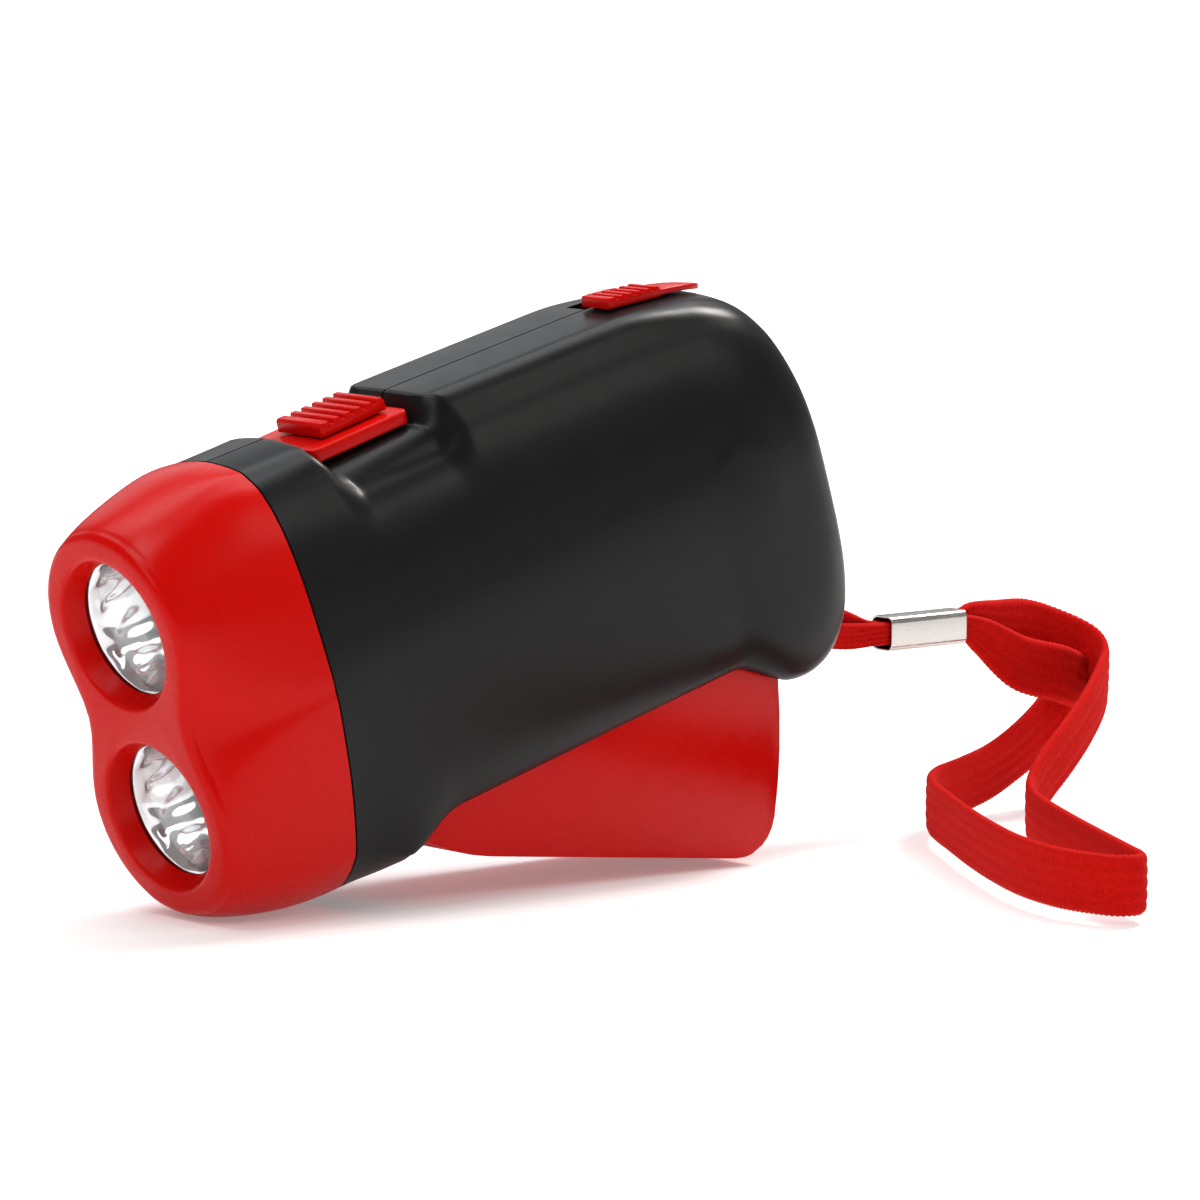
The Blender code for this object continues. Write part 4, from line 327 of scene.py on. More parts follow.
def bump(nodes, links, height, distance, strength, below=None):
    node = nodes.new("ShaderNodeBump")
    node.inputs["Distance"].default_value = distance
    node.inputs["Strength"].default_value = strength
    links.new(height, node.inputs["Height"])
    if below is not None:
        links.new(below, node.inputs["Normal"])
    return node.outputs["Normal"]


def moulded(name, colour, darker, roughness, grain, grain_depth, **sockets):
    """Moulded plastic: a fine spark grain, uneven gloss and a slow change of colour."""
    material, nodes, links, shader = principled(name, colour, roughness, **sockets)
    slow = noise(nodes, links, 55.0, 2.0)
    links.new(shades(nodes, links, slow, darker, colour), shader.inputs["Base Color"])
    handled = noise(nodes, links, 240.0, 4.0)
    links.new(spread(nodes, links, handled, roughness - 0.03, roughness + 0.04), shader.inputs["Roughness"])
    fine = noise(nodes, links, grain, 2.0)
    waves = noise(nodes, links, 90.0, 1.0)
    low = bump(nodes, links, waves, 0.02 * mm, 0.1)
    links.new(bump(nodes, links, fine, grain_depth, 0.3, low), shader.inputs["Normal"])
    return material


def metal(name, colour, darker, roughness, stretch=(1.0, 1.0, 1.0), scale=900.0):
    material, nodes, links, shader = principled(name, colour, roughness, 1.0)
    grain = noise(nodes, links, scale, 4.0, stretch)
    links.new(shades(nodes, links, grain, darker, colour), shader.inputs["Base Color"])
    links.new(spread(nodes, links, grain, roughness - 0.05, roughness + 0.08), shader.inputs["Roughness"])
    links.new(bump(nodes, links, grain, 0.02 * mm, 0.3), shader.inputs["Normal"])
    return material


def braid_finish():
    material, nodes, links, shader = principled("red_braid", (0.52, 0.003, 0.001), 0.85, Sheen_Weight=0.05,
                                                Sheen_Roughness=0.45, Sheen_Tint=(1.0, 0.35, 0.3, 1.0),
                                                Specular_IOR_Level=0.08)
    fibre = noise(nodes, links, 2600.0, 4.0)
    links.new(shades(nodes, links, fibre, (0.38, 0.0015, 0.001), (0.62, 0.006, 0.003)),
              shader.inputs["Base Color"])
    links.new(bump(nodes, links, fibre, 0.06 * mm, 0.6), shader.inputs["Normal"])
    return material


FINISHES = {
    "black_shell": moulded("black_shell", (0.0060, 0.0062, 0.0066), (0.0050, 0.0052, 0.0055), 0.32,
                           5200.0, 0.003 * mm, Specular_IOR_Level=0.17),
    "red_plastic": moulded("red_plastic", (0.55, 0.0025, 0.0010), (0.52, 0.0020, 0.0008), 0.27,
                           3800.0, 0.001 * mm, Specular_IOR_Level=0.10),
    "bright_chrome": metal("bright_chrome", (0.88, 0.88, 0.90), (0.82, 0.82, 0.85), 0.10),
    "steel": metal("steel", (0.62, 0.59, 0.56), (0.50, 0.47, 0.45), 0.26, (0.15, 1.0, 1.0)),
    "brass": metal("brass", (0.72, 0.50, 0.20), (0.60, 0.40, 0.15), 0.3),
    "copper": metal("copper", (0.62, 0.25, 0.10), (0.45, 0.16, 0.06), 0.35, (1.0, 0.1, 1.0), 2400.0),
    "magnet": moulded("magnet", (0.09, 0.09, 0.10), (0.06, 0.06, 0.07), 0.5, 3000.0, 0.02 * mm),
    "nylon": moulded("nylon", (0.82, 0.81, 0.74), (0.74, 0.73, 0.66), 0.45, 3000.0, 0.01 * mm),
    "board": moulded("board", (0.02, 0.16, 0.05), (0.015, 0.12, 0.04), 0.45, 2000.0, 0.01 * mm),
    "lamp": moulded("lamp", (0.85, 0.84, 0.72), (0.80, 0.78, 0.60), 0.18, 1500.0, 0.004 * mm),
    "clear_lens": moulded("clear_lens", (0.95, 0.97, 0.97), (0.93, 0.95, 0.95), 0.05, 900.0, 0.002 * mm,
                          Transmission_Weight=1.0, IOR=1.49),
    "red_braid": braid_finish(),
}
NODE_FINISHES = {
    "black_shell": ("left_housing", "right_housing", "slide_switch"),
    "red_plastic": ("head_bezel", "switch_plate", "switch_button", "lock_slider", "squeeze_lever"),
    "clear_lens": ("upper_lens", "lower_lens"),
    "bright_chrome": ("upper_reflector", "lower_reflector", "battery_stack"),
    "lamp": ("upper_led", "lower_led"),
    "board": ("led_board", "circuit_board"),
    "steel": ("lever_pin", "return_spring", "drive_shaft", "second_shaft", "rotor_shaft", "inner_stator",
              "outer_stator", "housing_screw_1", "housing_screw_2", "housing_screw_3", "housing_screw_4",
              "strap_ferrule"),
    "brass": ("near_contact", "far_contact", "rotor"),
    "nylon": ("drive_pinion", "drive_wheel", "second_gear"),
    "magnet": ("rotor_magnet",),
    "copper": ("coil_winding",),
    "red_braid": ("wrist_strap",),
}


def give(piece, finish):
    """Sets the piece's one finish."""
    piece.data.materials.clear()
    piece.data.materials.append(FINISHES[finish])
    return piece


def finish_nodes():
    for finish, names in NODE_FINISHES.items():
        for name in names:
            give(frame["nodes"][name], finish)


# Camera, floor and lights

def studio():
    deselect()
    bpy.ops.object.camera_add(location=CAMERA_PLACE, rotation=CAMERA_TURN)
    camera = bpy.context.object
    camera.name = "view"
    camera.data.lens = CAMERA_LENS
    camera.data.sensor_width = CAMERA_SENSOR
    camera.data.clip_end = 50.0
    bpy.context.scene.camera = camera
    bpy.context.scene.view_settings.view_transform = "Standard"

    bpy.ops.mesh.primitive_plane_add(size=FLOOR_SIZE, location=(0.0, 0.0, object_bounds()[0][2]))
    bpy.ops.object.transform_apply(location=True, rotation=True, scale=True)
    floor = named("floor")
    material, nodes, links, shader = principled("pale_floor", (0.93, 0.93, 0.93), 0.85,
                                                Specular_IOR_Level=0.1, Emission_Color=(1.0, 1.0, 1.0, 1.0),
                                                Emission_Strength=0.3)
    grain = noise(nodes, links, 40.0, 3.0)
    links.new(shades(nodes, links, grain, (0.92, 0.92, 0.92), (0.94, 0.94, 0.94)),
              shader.inputs["Base Color"])
    # The floor glows more the farther it lies from the torch, as a sweep of lit paper does
    place, reach = nodes.new("ShaderNodeTexCoord"), nodes.new("ShaderNodeVectorMath")
    reach.operation = "LENGTH"
    links.new(place.outputs["Object"], reach.inputs[0])
    links.new(spread(nodes, links, reach.outputs["Value"], 0.2, 1.0, 0.3, 1.3),
              shader.inputs["Emission Strength"])
    floor.data.materials.append(material)
    floor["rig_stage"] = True

    world = bpy.data.worlds.new("studio")
    world.use_nodes = True
    world.node_tree.nodes["Background"].inputs["Color"].default_value = (1.0, 1.0, 1.0, 1.0)
    world.node_tree.nodes["Background"].inputs["Strength"].default_value = ROOM_STRENGTH
    bpy.context.scene.world = world

    lamps = (
        # name, place, size, power, colour
        ("overhead_softbox", (0.15, 0.25, 0.85), (0.9, 0.6), 5.5, (0.95, 0.98, 1.0)),
        ("ridge_softbox", (0.62, 0.06, 0.72), (0.2, 0.2), 5.5, (1.0, 0.96, 0.91)),
        ("deck_softbox", (0.58, 0.94, 0.55), (0.7, 0.5), 0.8, (0.95, 0.98, 1.0)),
        ("head_softbox", (-0.35, -0.1, 0.85), (0.3, 0.3), 2.2, (1.0, 0.99, 0.97)),
        ("front_softbox", (-0.75, -0.35, 0.65), (0.45, 0.45), 2.0, (1.0, 0.98, 0.95)),
        ("side_softbox", (0.55, -0.9, 0.75), (0.4, 0.5), 1.8, (1.0, 0.97, 0.93)),
    )
    centre = (Vector(cad_low) + Vector(cad_high)) / 2
    for name, place, size, power, colour in lamps:
        bpy.ops.object.light_add(type="AREA", location=place)
        lamp = bpy.context.object
        lamp.name = name
        lamp.data.shape = "RECTANGLE"
        lamp.data.size, lamp.data.size_y = size
        lamp.data.energy = power
        lamp.data.color = colour
        lamp.visible_camera = False
        lamp.rotation_euler = (Vector(place) - centre).to_track_quat("Z", "Y").to_euler()


# Strap

def catmull(points, steps):
    """A smooth closed line through the rows of points, with steps rows for each."""
    rows = np.array(points, float)
    before, after, beyond = np.roll(rows, 1, 0), np.roll(rows, -1, 0), np.roll(rows, -2, 0)
    found = []
    for step in range(steps):
        t = step / steps
        found.append((2 * rows + (after - before) * t + (2 * before - 5 * rows + 4 * after - beyond) * t**2
                      + (3 * rows - before - 3 * after + beyond) * t**3) / 2)
    return np.stack(found, 1).reshape(-1, rows.shape[1])


def strap_stops():
    """The closed route as rows of place, width share and the direction of the width."""
    post = STAND @ Vector((STRAP_POST[0], 0.0, STRAP_POST[1]))
    stops = [(Vector((x * mm + STRAP_SHIFT, y * mm, height * mm)), share, radians(turn))
             for x, y, height, share, turn in STRAP_ROUTE]
    for angle in map(radians, STRAP_POST_ANGLES):
        place = post + Vector((cos(angle), 0.0, sin(angle))) * STRAP_POST_REACH
        stops.append((place, STRAP_ROUTE[0][3], None))
    rows = []
    for i, (place, share, turn) in enumerate(stops):
        along = (stops[(i + 1) % len(stops)][0] - stops[i - 1][0]).normalized()
        across = Vector((0.0, -1.0, 0.0))
        if turn is not None:
            level = along.cross(Vector((0.0, 0.0, 1.0))).normalized()
            across = level.cross(along) * cos(turn) + level * sin(turn)
        rows.append((*place, share, *across))
    return rows


def even_line(rows, step):
    """The same closed line with rows at an even distance."""
    closed = np.vstack([rows, rows[:1]])
    along = np.concatenate([[0.0], np.cumsum(np.linalg.norm(np.diff(closed[:, :3], axis=0), axis=1))])
    count = round(along[-1] / step)
    places = np.arange(count) * along[-1] / count
    return np.stack([np.interp(places, along, column) for column in closed.T], 1), along[-1]


def wrist_strap():
    line, length = even_line(catmull(strap_stops(), STRAP_LINE_STEPS), BRAID_STEP)
    count = len(line)
    along = np.roll(line[:, :3], -1, 0) - np.roll(line[:, :3], 1, 0)
    along /= np.linalg.norm(along, axis=1)[:, None]
    across = line[:, 4:] - along * (line[:, 4:] * along).sum(1)[:, None]
    across /= np.linalg.norm(across, axis=1)[:, None]
    flat = np.cross(along, across)
    shares = np.linspace(-1.0, 1.0, 4 * BRAID_RIBS + 1)
    stitches = round(length / STITCH)
    run = np.arange(count) / count * stitches * 2 * pi
    rings = []
    for side in (1.0, -1.0):
        for share in (shares if side > 0 else shares[::-1])[:-1]:
            rib = (share + 1.0) / 2 * BRAID_RIBS
            inside = rib - np.floor(rib)
            crown = abs(sin(pi * rib))
            slant = 2 * pi * BRAID_SLANT * (inside if int(rib) % 2 else 1.0 - inside)
            knit = np.sin(run + slant * side) * STITCH_DEPTH
            round_off = (1.0 - abs(share) ** EDGE_POWER) ** 0.5
            half = (STRAP_THICK / 2 - RIB_DEPTH * (1.0 - crown)) * round_off
            edge = 1.0 + knit / STRAP_WIDTH * 2 * (abs(share) > 0.9)
            u = share * line[:, 3] * (STRAP_WIDTH / 2 - STITCH_DEPTH) * edge
            v = side * (half + knit * round_off)
            rings.append(line[:, :3] + across * u[:, None] + flat * v[:, None])
    points = np.stack(rings, 1)
    ring = points.shape[1]
    faces = []
    for i in range(count):
        j = (i + 1) % count
        for k in range(ring):
            m = (k + 1) % ring
            faces.append((i * ring + k, i * ring + m, j * ring + m, j * ring + k))
    mesh = bpy.data.meshes.new("braided_strap")
    mesh.from_pydata(points.reshape(-1, 3).tolist(), [], faces)
    piece = bpy.data.objects.new("braided_strap", mesh)
    bpy.context.scene.collection.objects.link(piece)
    outward(piece)
    for polygon in mesh.polygons:
        polygon.use_smooth = True
    give(piece, "red_braid")
    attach(piece, "torch")
    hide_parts("wrist_strap")
    return piece


def outward(piece):
    """Turns every face of a closed piece outwards."""
    only(piece)
    bpy.ops.object.mode_set(mode="EDIT")
    bpy.ops.mesh.select_all(action="SELECT")
    bpy.ops.mesh.normals_make_consistent(inside=False)
    bpy.ops.object.mode_set(mode="OBJECT")
    return piece


# Solids in the torch's own axes

def from_faces(name, points, faces):
    mesh = bpy.data.meshes.new(name)
    mesh.from_pydata([tuple(point) for point in points], [], faces)
    piece = bpy.data.objects.new(name, mesh)
    bpy.context.scene.collection.objects.link(piece)
    return outward(piece)


def extruded(name, outline, start, end):
    """An outline in (x, z), drawn as one face and extruded along y."""
    piece = from_faces(name, [(x, start, z) for x, z in outline], [list(range(len(outline)))])
    only(piece)
    bpy.ops.object.mode_set(mode="EDIT")
    bpy.ops.mesh.select_all(action="SELECT")
    bpy.ops.mesh.extrude_region_move(TRANSFORM_OT_translate={"value": (0.0, end - start, 0.0)})
    bpy.ops.object.mode_set(mode="OBJECT")
    return outward(piece)


def block(name, low, high):
    deselect()
    middle = [(a + b) / 2 for a, b in zip(low, high)]
    bpy.ops.mesh.primitive_cube_add(size=1.0, location=middle, scale=[b - a for a, b in zip(low, high)])
    bpy.ops.object.transform_apply(location=True, rotation=True, scale=True)
    return named(name)


def rod(name, start, end, radius, segments=48):
    """A round bar between two points."""
    deselect()
    start, end = Vector(start), Vector(end)
    turn = (end - start).to_track_quat("Z", "Y").to_euler()
    bpy.ops.mesh.primitive_cylinder_add(vertices=segments, radius=radius, depth=(end - start).length,
                                        location=(start + end) / 2, rotation=turn)
    bpy.ops.object.transform_apply(location=True, rotation=True, scale=True)
    return named(name)


def turned(name, profile, z, segments=72, ripple=None):
    """A closed profile of (radius, x) turned about a lamp's axis; ripple moves points by their angle."""
    points, faces = [], []
    count = len(profile)
    for step in range(segments):
        angle = 2 * pi * step / segments
        for i, (radius, x) in enumerate(profile):
            reach = radius + (ripple(i, angle) if ripple else 0.0)
            points.append((x, reach * cos(angle), z + reach * sin(angle)))
    for step in range(segments):
        a, b = step * count, (step + 1) % segments * count
        for i in range(count):
            j = (i + 1) % count
            faces.append((a + i, a + j, b + j, b + i))
    piece = from_faces(name, points, faces)
    only(piece)
    bpy.ops.object.mode_set(mode="EDIT")
    bpy.ops.mesh.select_all(action="SELECT")
    bpy.ops.mesh.remove_doubles(threshold=0.001 * mm)
    bpy.ops.mesh.dissolve_degenerate(threshold=0.0005 * mm)
    bpy.ops.object.mode_set(mode="OBJECT")
    return outward(piece)


def combined(piece, tool, operation):
    """Applies a Boolean with the tool and deletes the tool."""
    only(piece)
    change = piece.modifiers.new("shape", "BOOLEAN")
    change.operation = operation
    change.solver = "EXACT"
    change.object = tool
    bpy.ops.object.modifier_apply(modifier=change.name)
    bpy.data.objects.remove(tool)
    return piece


def rounded(piece, width, segments=3, angle=radians(35.0)):
    """Rounds the sharp edges with an applied bevel."""
    only(piece)
    bevel = piece.modifiers.new("edges", "BEVEL")
    bevel.width = width
    bevel.segments = segments
    bevel.limit_method = "ANGLE"
    bevel.angle_limit = angle
    bevel.use_clamp_overlap = True
    bpy.ops.object.modifier_apply(modifier=bevel.name)
    return piece


def fitted(piece, finish, *nodes, place=STAND, angle=radians(35.0)):
    """Stands the finished piece in the frame, in the place of its nodes and on their body."""
    piece.data.transform(place)
    smooth(piece, angle)
    give(piece, finish)
    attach(piece, frame["nodes"][nodes[0]]["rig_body"])
    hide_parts(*nodes)
    return piece


def mix(a, b, share):
    return a + (b - a) * share


def smoothstep(share):
    share = min(1.0, max(0.0, share))
    return share * share * (3.0 - 2.0 * share)


def arc(centre, radius, start, end, steps):
    angles = [mix(start, end, i / steps) for i in range(steps + 1)]
    return [(centre[0] + radius * cos(a), centre[1] + radius * sin(a)) for a in angles]


def between(a, b, c, d, t):
    """A point between b and c on a smooth curve through all four."""
    return (2 * b + (c - a) * t + (2 * a - 5 * b + 4 * c - d) * t**2 + (3 * b - a - 3 * c + d) * t**3) / 2


def at_ring(values, ring, through=False):
    """A table's value between its rows; through runs straight over the middle plane instead of mirrored."""
    i = min(int(ring), len(values) - 2)
    b, c = values[i], values[i + 1]
    first = 2 * b - c if through else c
    a = values[i - 1] if i else first
    d = values[i + 2] if i + 2 < len(values) else 2 * c - b
    return between(a, b, c, d, ring - i)


def smooth_line(points, steps):
    """The open line through the points, without the first and last stretch that only lead it."""
    rows = np.array(points, float)
    found = []
    for i in range(1, len(rows) - 2):
        for step in range(steps):
            found.append(tuple(between(rows[i - 1], rows[i], rows[i + 1], rows[i + 2], step / steps)))
    return found + [tuple(rows[-2])]


# Housing

def deck_height(x):
    run = (x - TOP_FALL_START_X) / (TOP_FALL_END_X - TOP_FALL_START_X)
    return TOP_Z - TOP_SLOPE * (x - JOINT_X) - TOP_FALL * max(0.0, run) ** 2


def dip_depth(x, ring, wider):
    """How far the dip for the switch lowers the top at one ring."""
    ramp = mix(DIP_RAMP, DIP_SIDE_RAMP, min(1.0, max(0.0, at_ring(DIP_RAMP_SHARES, ring))))
    front = smoothstep((x - DIP_FRONT_X + wider) / ramp)
    rear = smoothstep((DIP_REAR_X - DIP_RAMP + ramp + wider - x) / ramp)
    return (deck_height(x) - DIP_FLOOR_Z) * min(front, rear)


def housing_side():
    """The side view: along the top, round the rear and back along the bottom to the head."""
    front = JOINT_X + SEAM_HALF
    top = [(x, deck_height(x)) for x in np.arange(front, TOP_FALL_END_X, OUTLINE_STEP)]
    lead = (TOP_FALL_END_X - 6 * mm, deck_height(TOP_FALL_END_X - 6 * mm))
    rear = [lead, (TOP_FALL_END_X, deck_height(TOP_FALL_END_X))]
    rear += [(x * REAR_X, z * TOP_Z) for x, z in REAR_TOP_SHARES]
    rear += [(x * REAR_X, z * HEEL_Z) for x, z in REAR_LOW_SHARES]
    rear += [(LIP_REAR_X, -LIP_Z), (LIP_REAR_X - 6 * mm, -LIP_Z)]
    low = [(x, -LIP_Z) for x in np.arange(LIP_REAR_X - 2 * mm, LIP_FRONT_X + 1 * mm, -2 * mm)]
    chin = [(LIP_FRONT_X + 6 * mm, -LIP_Z), (LIP_FRONT_X, -LIP_Z)]
    chin += [(x * REAR_X, z * HEEL_Z) for x, z in CHIN_SHARES]
    chin += [(front, -CHIN_Z), (front - 5 * mm, -CHIN_Z)]
    return top + smooth_line(rear, 6) + low + smooth_line(chin, 6)


def ring_point(x, z, ring, wall):
    """A point of the side view, drawn in to one ring of the rounding and by the wall."""
    core_x = min(x, CORE_END_X)
    reach = hypot(x - core_x, z)
    along = ((x - core_x) / reach, z / reach)
    tight = smoothstep((x - JOINT_X) / (PALM_START_X - JOINT_X))
    tight *= 1.0 - smoothstep((x - PALM_FADE_X) / (PALM_END_X - PALM_FADE_X))
    top = mix(at_ring(HUMP_SHARES, ring), at_ring(PALM_SHARES, ring), tight)
    chin = smoothstep((x - JOINT_X) / (CHIN_END_X - JOINT_X))
    low = mix(at_ring(CHIN_ROUND_SHARES, ring), at_ring(LIP_ROUND_SHARES, ring), chin)
    share = max(along[1], 0.0) ** 2 * top + max(-along[1], 0.0) ** 2 * low
    share += along[0] ** 2 * at_ring(REAR_ROUND_SHARES, ring)
    inset = wall + (reach - wall) * max(0.0, share)
    fade = at_ring(DIP_INNER_FADE_SHARES if wall else DIP_FADE_SHARES, ring)
    drop = dip_depth(x, ring, wall) * max(0.0, fade) if z > 0.0 else 0.0
    y = max(SEAM_HALF, (HALF_THICK - wall) * at_ring(RING_Y_SHARES, ring, True))
    return x - inset * along[0], y, z - inset * along[1] - drop


def housing_skins(name, side):
    """An outer and an inner skin of the same rings, closed along the seam and the front edge."""
    outline = housing_side()
    rings = [i / RING_STEPS for i in range((len(RING_Y_SHARES) - 1) * RING_STEPS + 1)]
    count, skin = len(outline), len(outline) * len(rings)
    points = [ring_point(x, z, ring, wall) for wall in (0.0, WALL) for ring in rings for x, z in outline]
    faces = []
    for row in range(len(rings) - 1):
        for i in range(count - 1):
            a = row * count + i
            faces.append((a, a + 1, a + 1 + count, a + count))
    faces.append(list(range(skin - count, skin)))
    faces += [[skin + i for i in reversed(face)] for face in faces]
    rim = list(range(count)) + [row * count + count - 1 for row in range(1, len(rings))]
    rim += [row * count for row in range(len(rings) - 1, 0, -1)]
    faces += [(a, b, b + skin, a + skin) for a, b in zip(rim, rim[1:] + rim[:1])]
    return from_faces(name, [(x, side * y, z) for x, y, z in points], faces)


def housing_half(name, side, node):
    shell = housing_skins(name, side)
    for (front, rear), half, (low, high) in (OPENING, STRAP_SLOT):
        combined(shell, block("opening", (front, -half, low), (rear, half, high)), "DIFFERENCE")
    if side > 0:
        low, high = (LOCK_SLOT_X[0], LOCK_SLOT_Y[0], TOP_Z / 2), (LOCK_SLOT_X[1], LOCK_SLOT_Y[1], 2 * TOP_Z)
        combined(shell, block("lock_slot", low, high), "DIFFERENCE")
        for (x, z), screw in zip(SCREW_PLACES, SCREW_NODES):
            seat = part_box(screw)[0][1] + SCREW_SEAT_RISE
            boss = rod("boss", (x, 2 * SEAM_HALF, z), (x, HALF_THICK - WALL * 1.2, z), SCREW_BOSS_RADIUS)
            combined(shell, boss, "UNION")
            sink = rod("sink", (x, seat, z), (x, 2 * HALF_THICK, z), SCREW_HOLE_RADIUS)
            combined(shell, sink, "DIFFERENCE")
    else:
        x, z = STRAP_POST
        combined(shell, rod("strap_post", (x, POST_Y[0], z), (x, POST_Y[1], z), POST_RADIUS), "UNION")
    return fitted(shell, "black_shell", node, angle=radians(40.0))


# Head and lamps

def head_point(x, ring, sign, inset=0.0):
    """A point of the head's outline: two lobes at the front, the housing's own section at the rear."""
    length = JOINT_X - SEAM_HALF - HEAD_FULL_X
    run = max(0.0, (x - HEAD_FULL_X) / length)
    swell = sin(pi / 2 * run ** HEAD_SWELL_SHARE)
    bulge = HEAD_BULGE * sin(pi * run**2) if sign > 0 else 0.0
    rear = [HALF_THICK * RING_Y_SHARES[ring], TOP_Z * (1.0 - HUMP_SHARES[ring]) + bulge]
    if sign == 0:
        last_low = CHIN_Z * (1.0 - CHIN_ROUND_SHARES[-1])
        last_top = TOP_Z * (1.0 - HUMP_SHARES[-1])
        return x, mix(WAIST_HALF - inset, HALF_THICK, swell), mix(0.0, (last_top - last_low) / 2, swell)
    if sign < 0:
        rear[1] = -CHIN_Z * (1.0 - CHIN_ROUND_SHARES[ring])
    angle = radians(LOBE_ANGLES[ring])
    radius = LOBE_RADIUS - inset
    front = (radius * cos(angle), sign * (LAMP_SPACING / 2 + radius * sin(angle)))
    return x, mix(front[0], rear[0], swell), mix(front[1], rear[1], swell)


def head_section(x, inset=0.0, shrink=0.0):
    rings = range(len(RING_Y_SHARES))
    half = [head_point(x, ring, 1, inset) for ring in rings] + [head_point(x, 0, 0, inset)]
    half += [head_point(x, ring, -1, inset) for ring in reversed(rings)]
    rows = np.array(half + [(a, -y, z) for a, y, z in reversed(half[1:-1])])
    rows[:, 1] *= 1.0 - shrink / HALF_THICK
    rows[:, 2] *= 1.0 - shrink / TOP_Z
    return catmull(rows, 4)


def loft(name, sections):
    """A closed solid through the sections, with a face at each end."""
    count = len(sections[0])
    points = [point for section in sections for point in section]
    faces = []
    for s in range(len(sections) - 1):
        for i in range(count):
            a, b = s * count + i, s * count + (i + 1) % count
            faces.append((a, b, b + count, a + count))
    faces += [list(reversed(range(count))), list(range(len(points) - count, len(points)))]
    return from_faces(name, points, faces)


def window_cutter(z):
    """The tapered window with its rounded front edge, turned about the lamp's axis."""
    slope = (RIM_RADIUS - WINDOW_RADIUS) / WINDOW_DEPTH
    edge = [(RIM_RADIUS + RIM_ROUND * (1 - sin(a)), RIM_ROUND * (1 - cos(a)))
            for a in (0.0, pi / 8, pi / 4, 3 * pi / 8, pi / 2)]
    deep = WINDOW_DEPTH + 0.2 * mm
    profile = [(0.0, -3 * mm), (RIM_RADIUS + 1.2 * mm, -3 * mm), (RIM_RADIUS + 1.2 * mm, -0.001 * mm)]
    profile += [(radius - slope * x, x) for radius, x in edge]
    profile += [(RIM_RADIUS - slope * deep, deep), (0.0, deep)]
    return turned("window", profile, z, 96)


def head():
    round_over = [radians(a) for a in (90, 75, 60, 45, 30, 15)]
    sections = [head_section(HEAD_FULL_X * (1 - sin(a)), HEAD_LIP * (1 - cos(a))) for a in round_over]
    rear_x = JOINT_X - SEAM_HALF
    sections += [head_section(mix(HEAD_FULL_X, rear_x, (i / 26) ** 1.3)) for i in range(27)]
    shell = loft("lamp_head", sections)
    inner = [head_section(min(x, rear_x), 0.0, HEAD_WALL) for x in np.linspace(LAMP_TUBE_END_X, rear_x, 6)]
    inner.append(inner[-1] + np.array((2 * mm, 0.0, 0.0)))
    combined(shell, loft("hollow", inner), "DIFFERENCE")
    for z in (LAMP_SPACING / 2, -LAMP_SPACING / 2):
        bore = rod("bore", (WINDOW_DEPTH, 0.0, z), (LAMP_TUBE_END_X + 2 * mm, 0.0, z), LAMP_BORE, 96)
        combined(shell, bore, "DIFFERENCE")
        combined(shell, window_cutter(z), "DIFFERENCE")
    return fitted(shell, "red_plastic", "head_bezel", angle=radians(40.0))


def lens(name, node, z):
    glass = rod(name, (LENS_X, 0.0, z), (LENS_X + LENS_THICK, 0.0, z), LAMP_BORE - 0.3 * mm, 96)
    return fitted(rounded(glass, 0.15 * mm), "clear_lens", node)


def reflector(name, node, z):
    """A chromed cup whose wall carries soft swirling ripples."""
    steps = 22
    rim = LAMP_BORE - 0.3 * mm - REFLECTOR_WALL
    length = REFLECTOR_END_X - REFLECTOR_X
    shares = [i / steps for i in range(steps + 1)]
    inner = [(mix(rim, REFLECTOR_THROAT, share), REFLECTOR_X + length * share**1.8) for share in shares]
    profile = inner + [(radius + REFLECTOR_WALL, x) for radius, x in reversed(inner)]

    def ripple(i, angle):
        if i > steps:
            return 0.0
        share = shares[i]
        swirl = sin(13 * angle + 9.0 * share) * 0.11 * mm + sin(8 * angle - 15.0 * share) * 0.12 * mm
        return swirl * sin(pi * min(1.0, share * 1.15)) ** 0.5 if 0.0 < share < 0.87 else 0.0

    return fitted(turned(name, profile, z, 120, ripple), "bright_chrome", node, angle=radians(60.0))


def lamp(name, node, z):
    front = LED_REAR_X - LED_LENGTH
    dome = [(LED_RADIUS * cos(a), front + LED_RADIUS * (1 - sin(a))) for a in np.linspace(0.0, pi / 2, 10)]
    profile = [(0.0, LED_REAR_X), (LED_FLANGE, LED_REAR_X), (LED_FLANGE, LED_REAR_X - 1 * mm),
               (LED_RADIUS, LED_REAR_X - 1 * mm)] + [(max(0.0, radius), x) for radius, x in dome]
    return fitted(turned(name, profile, z, 48), "lamp", node)


# Switch and lock

def ribbed_outline(length, height, depth, ribs, lead):
    """Side view of a thumb piece: a plain lead, then ribs with a steep front and a sloping rear."""
    step = (length - lead) / ribs
    points = [(0.0, 0.0), (0.0, height - depth / 2), (depth / 2, height)]
    if lead:
        points += [(lead - depth / 2, height), (lead, height - depth)]
    for k in range(ribs):
        start = lead + k * step
        if lead or k:
            points += [(start + step * 0.30, height - depth), (start + step * 0.38, height)]
        points += [(start + step * 0.82, height), (start + step, height - depth)]
    return points + [(length, 0.0)]


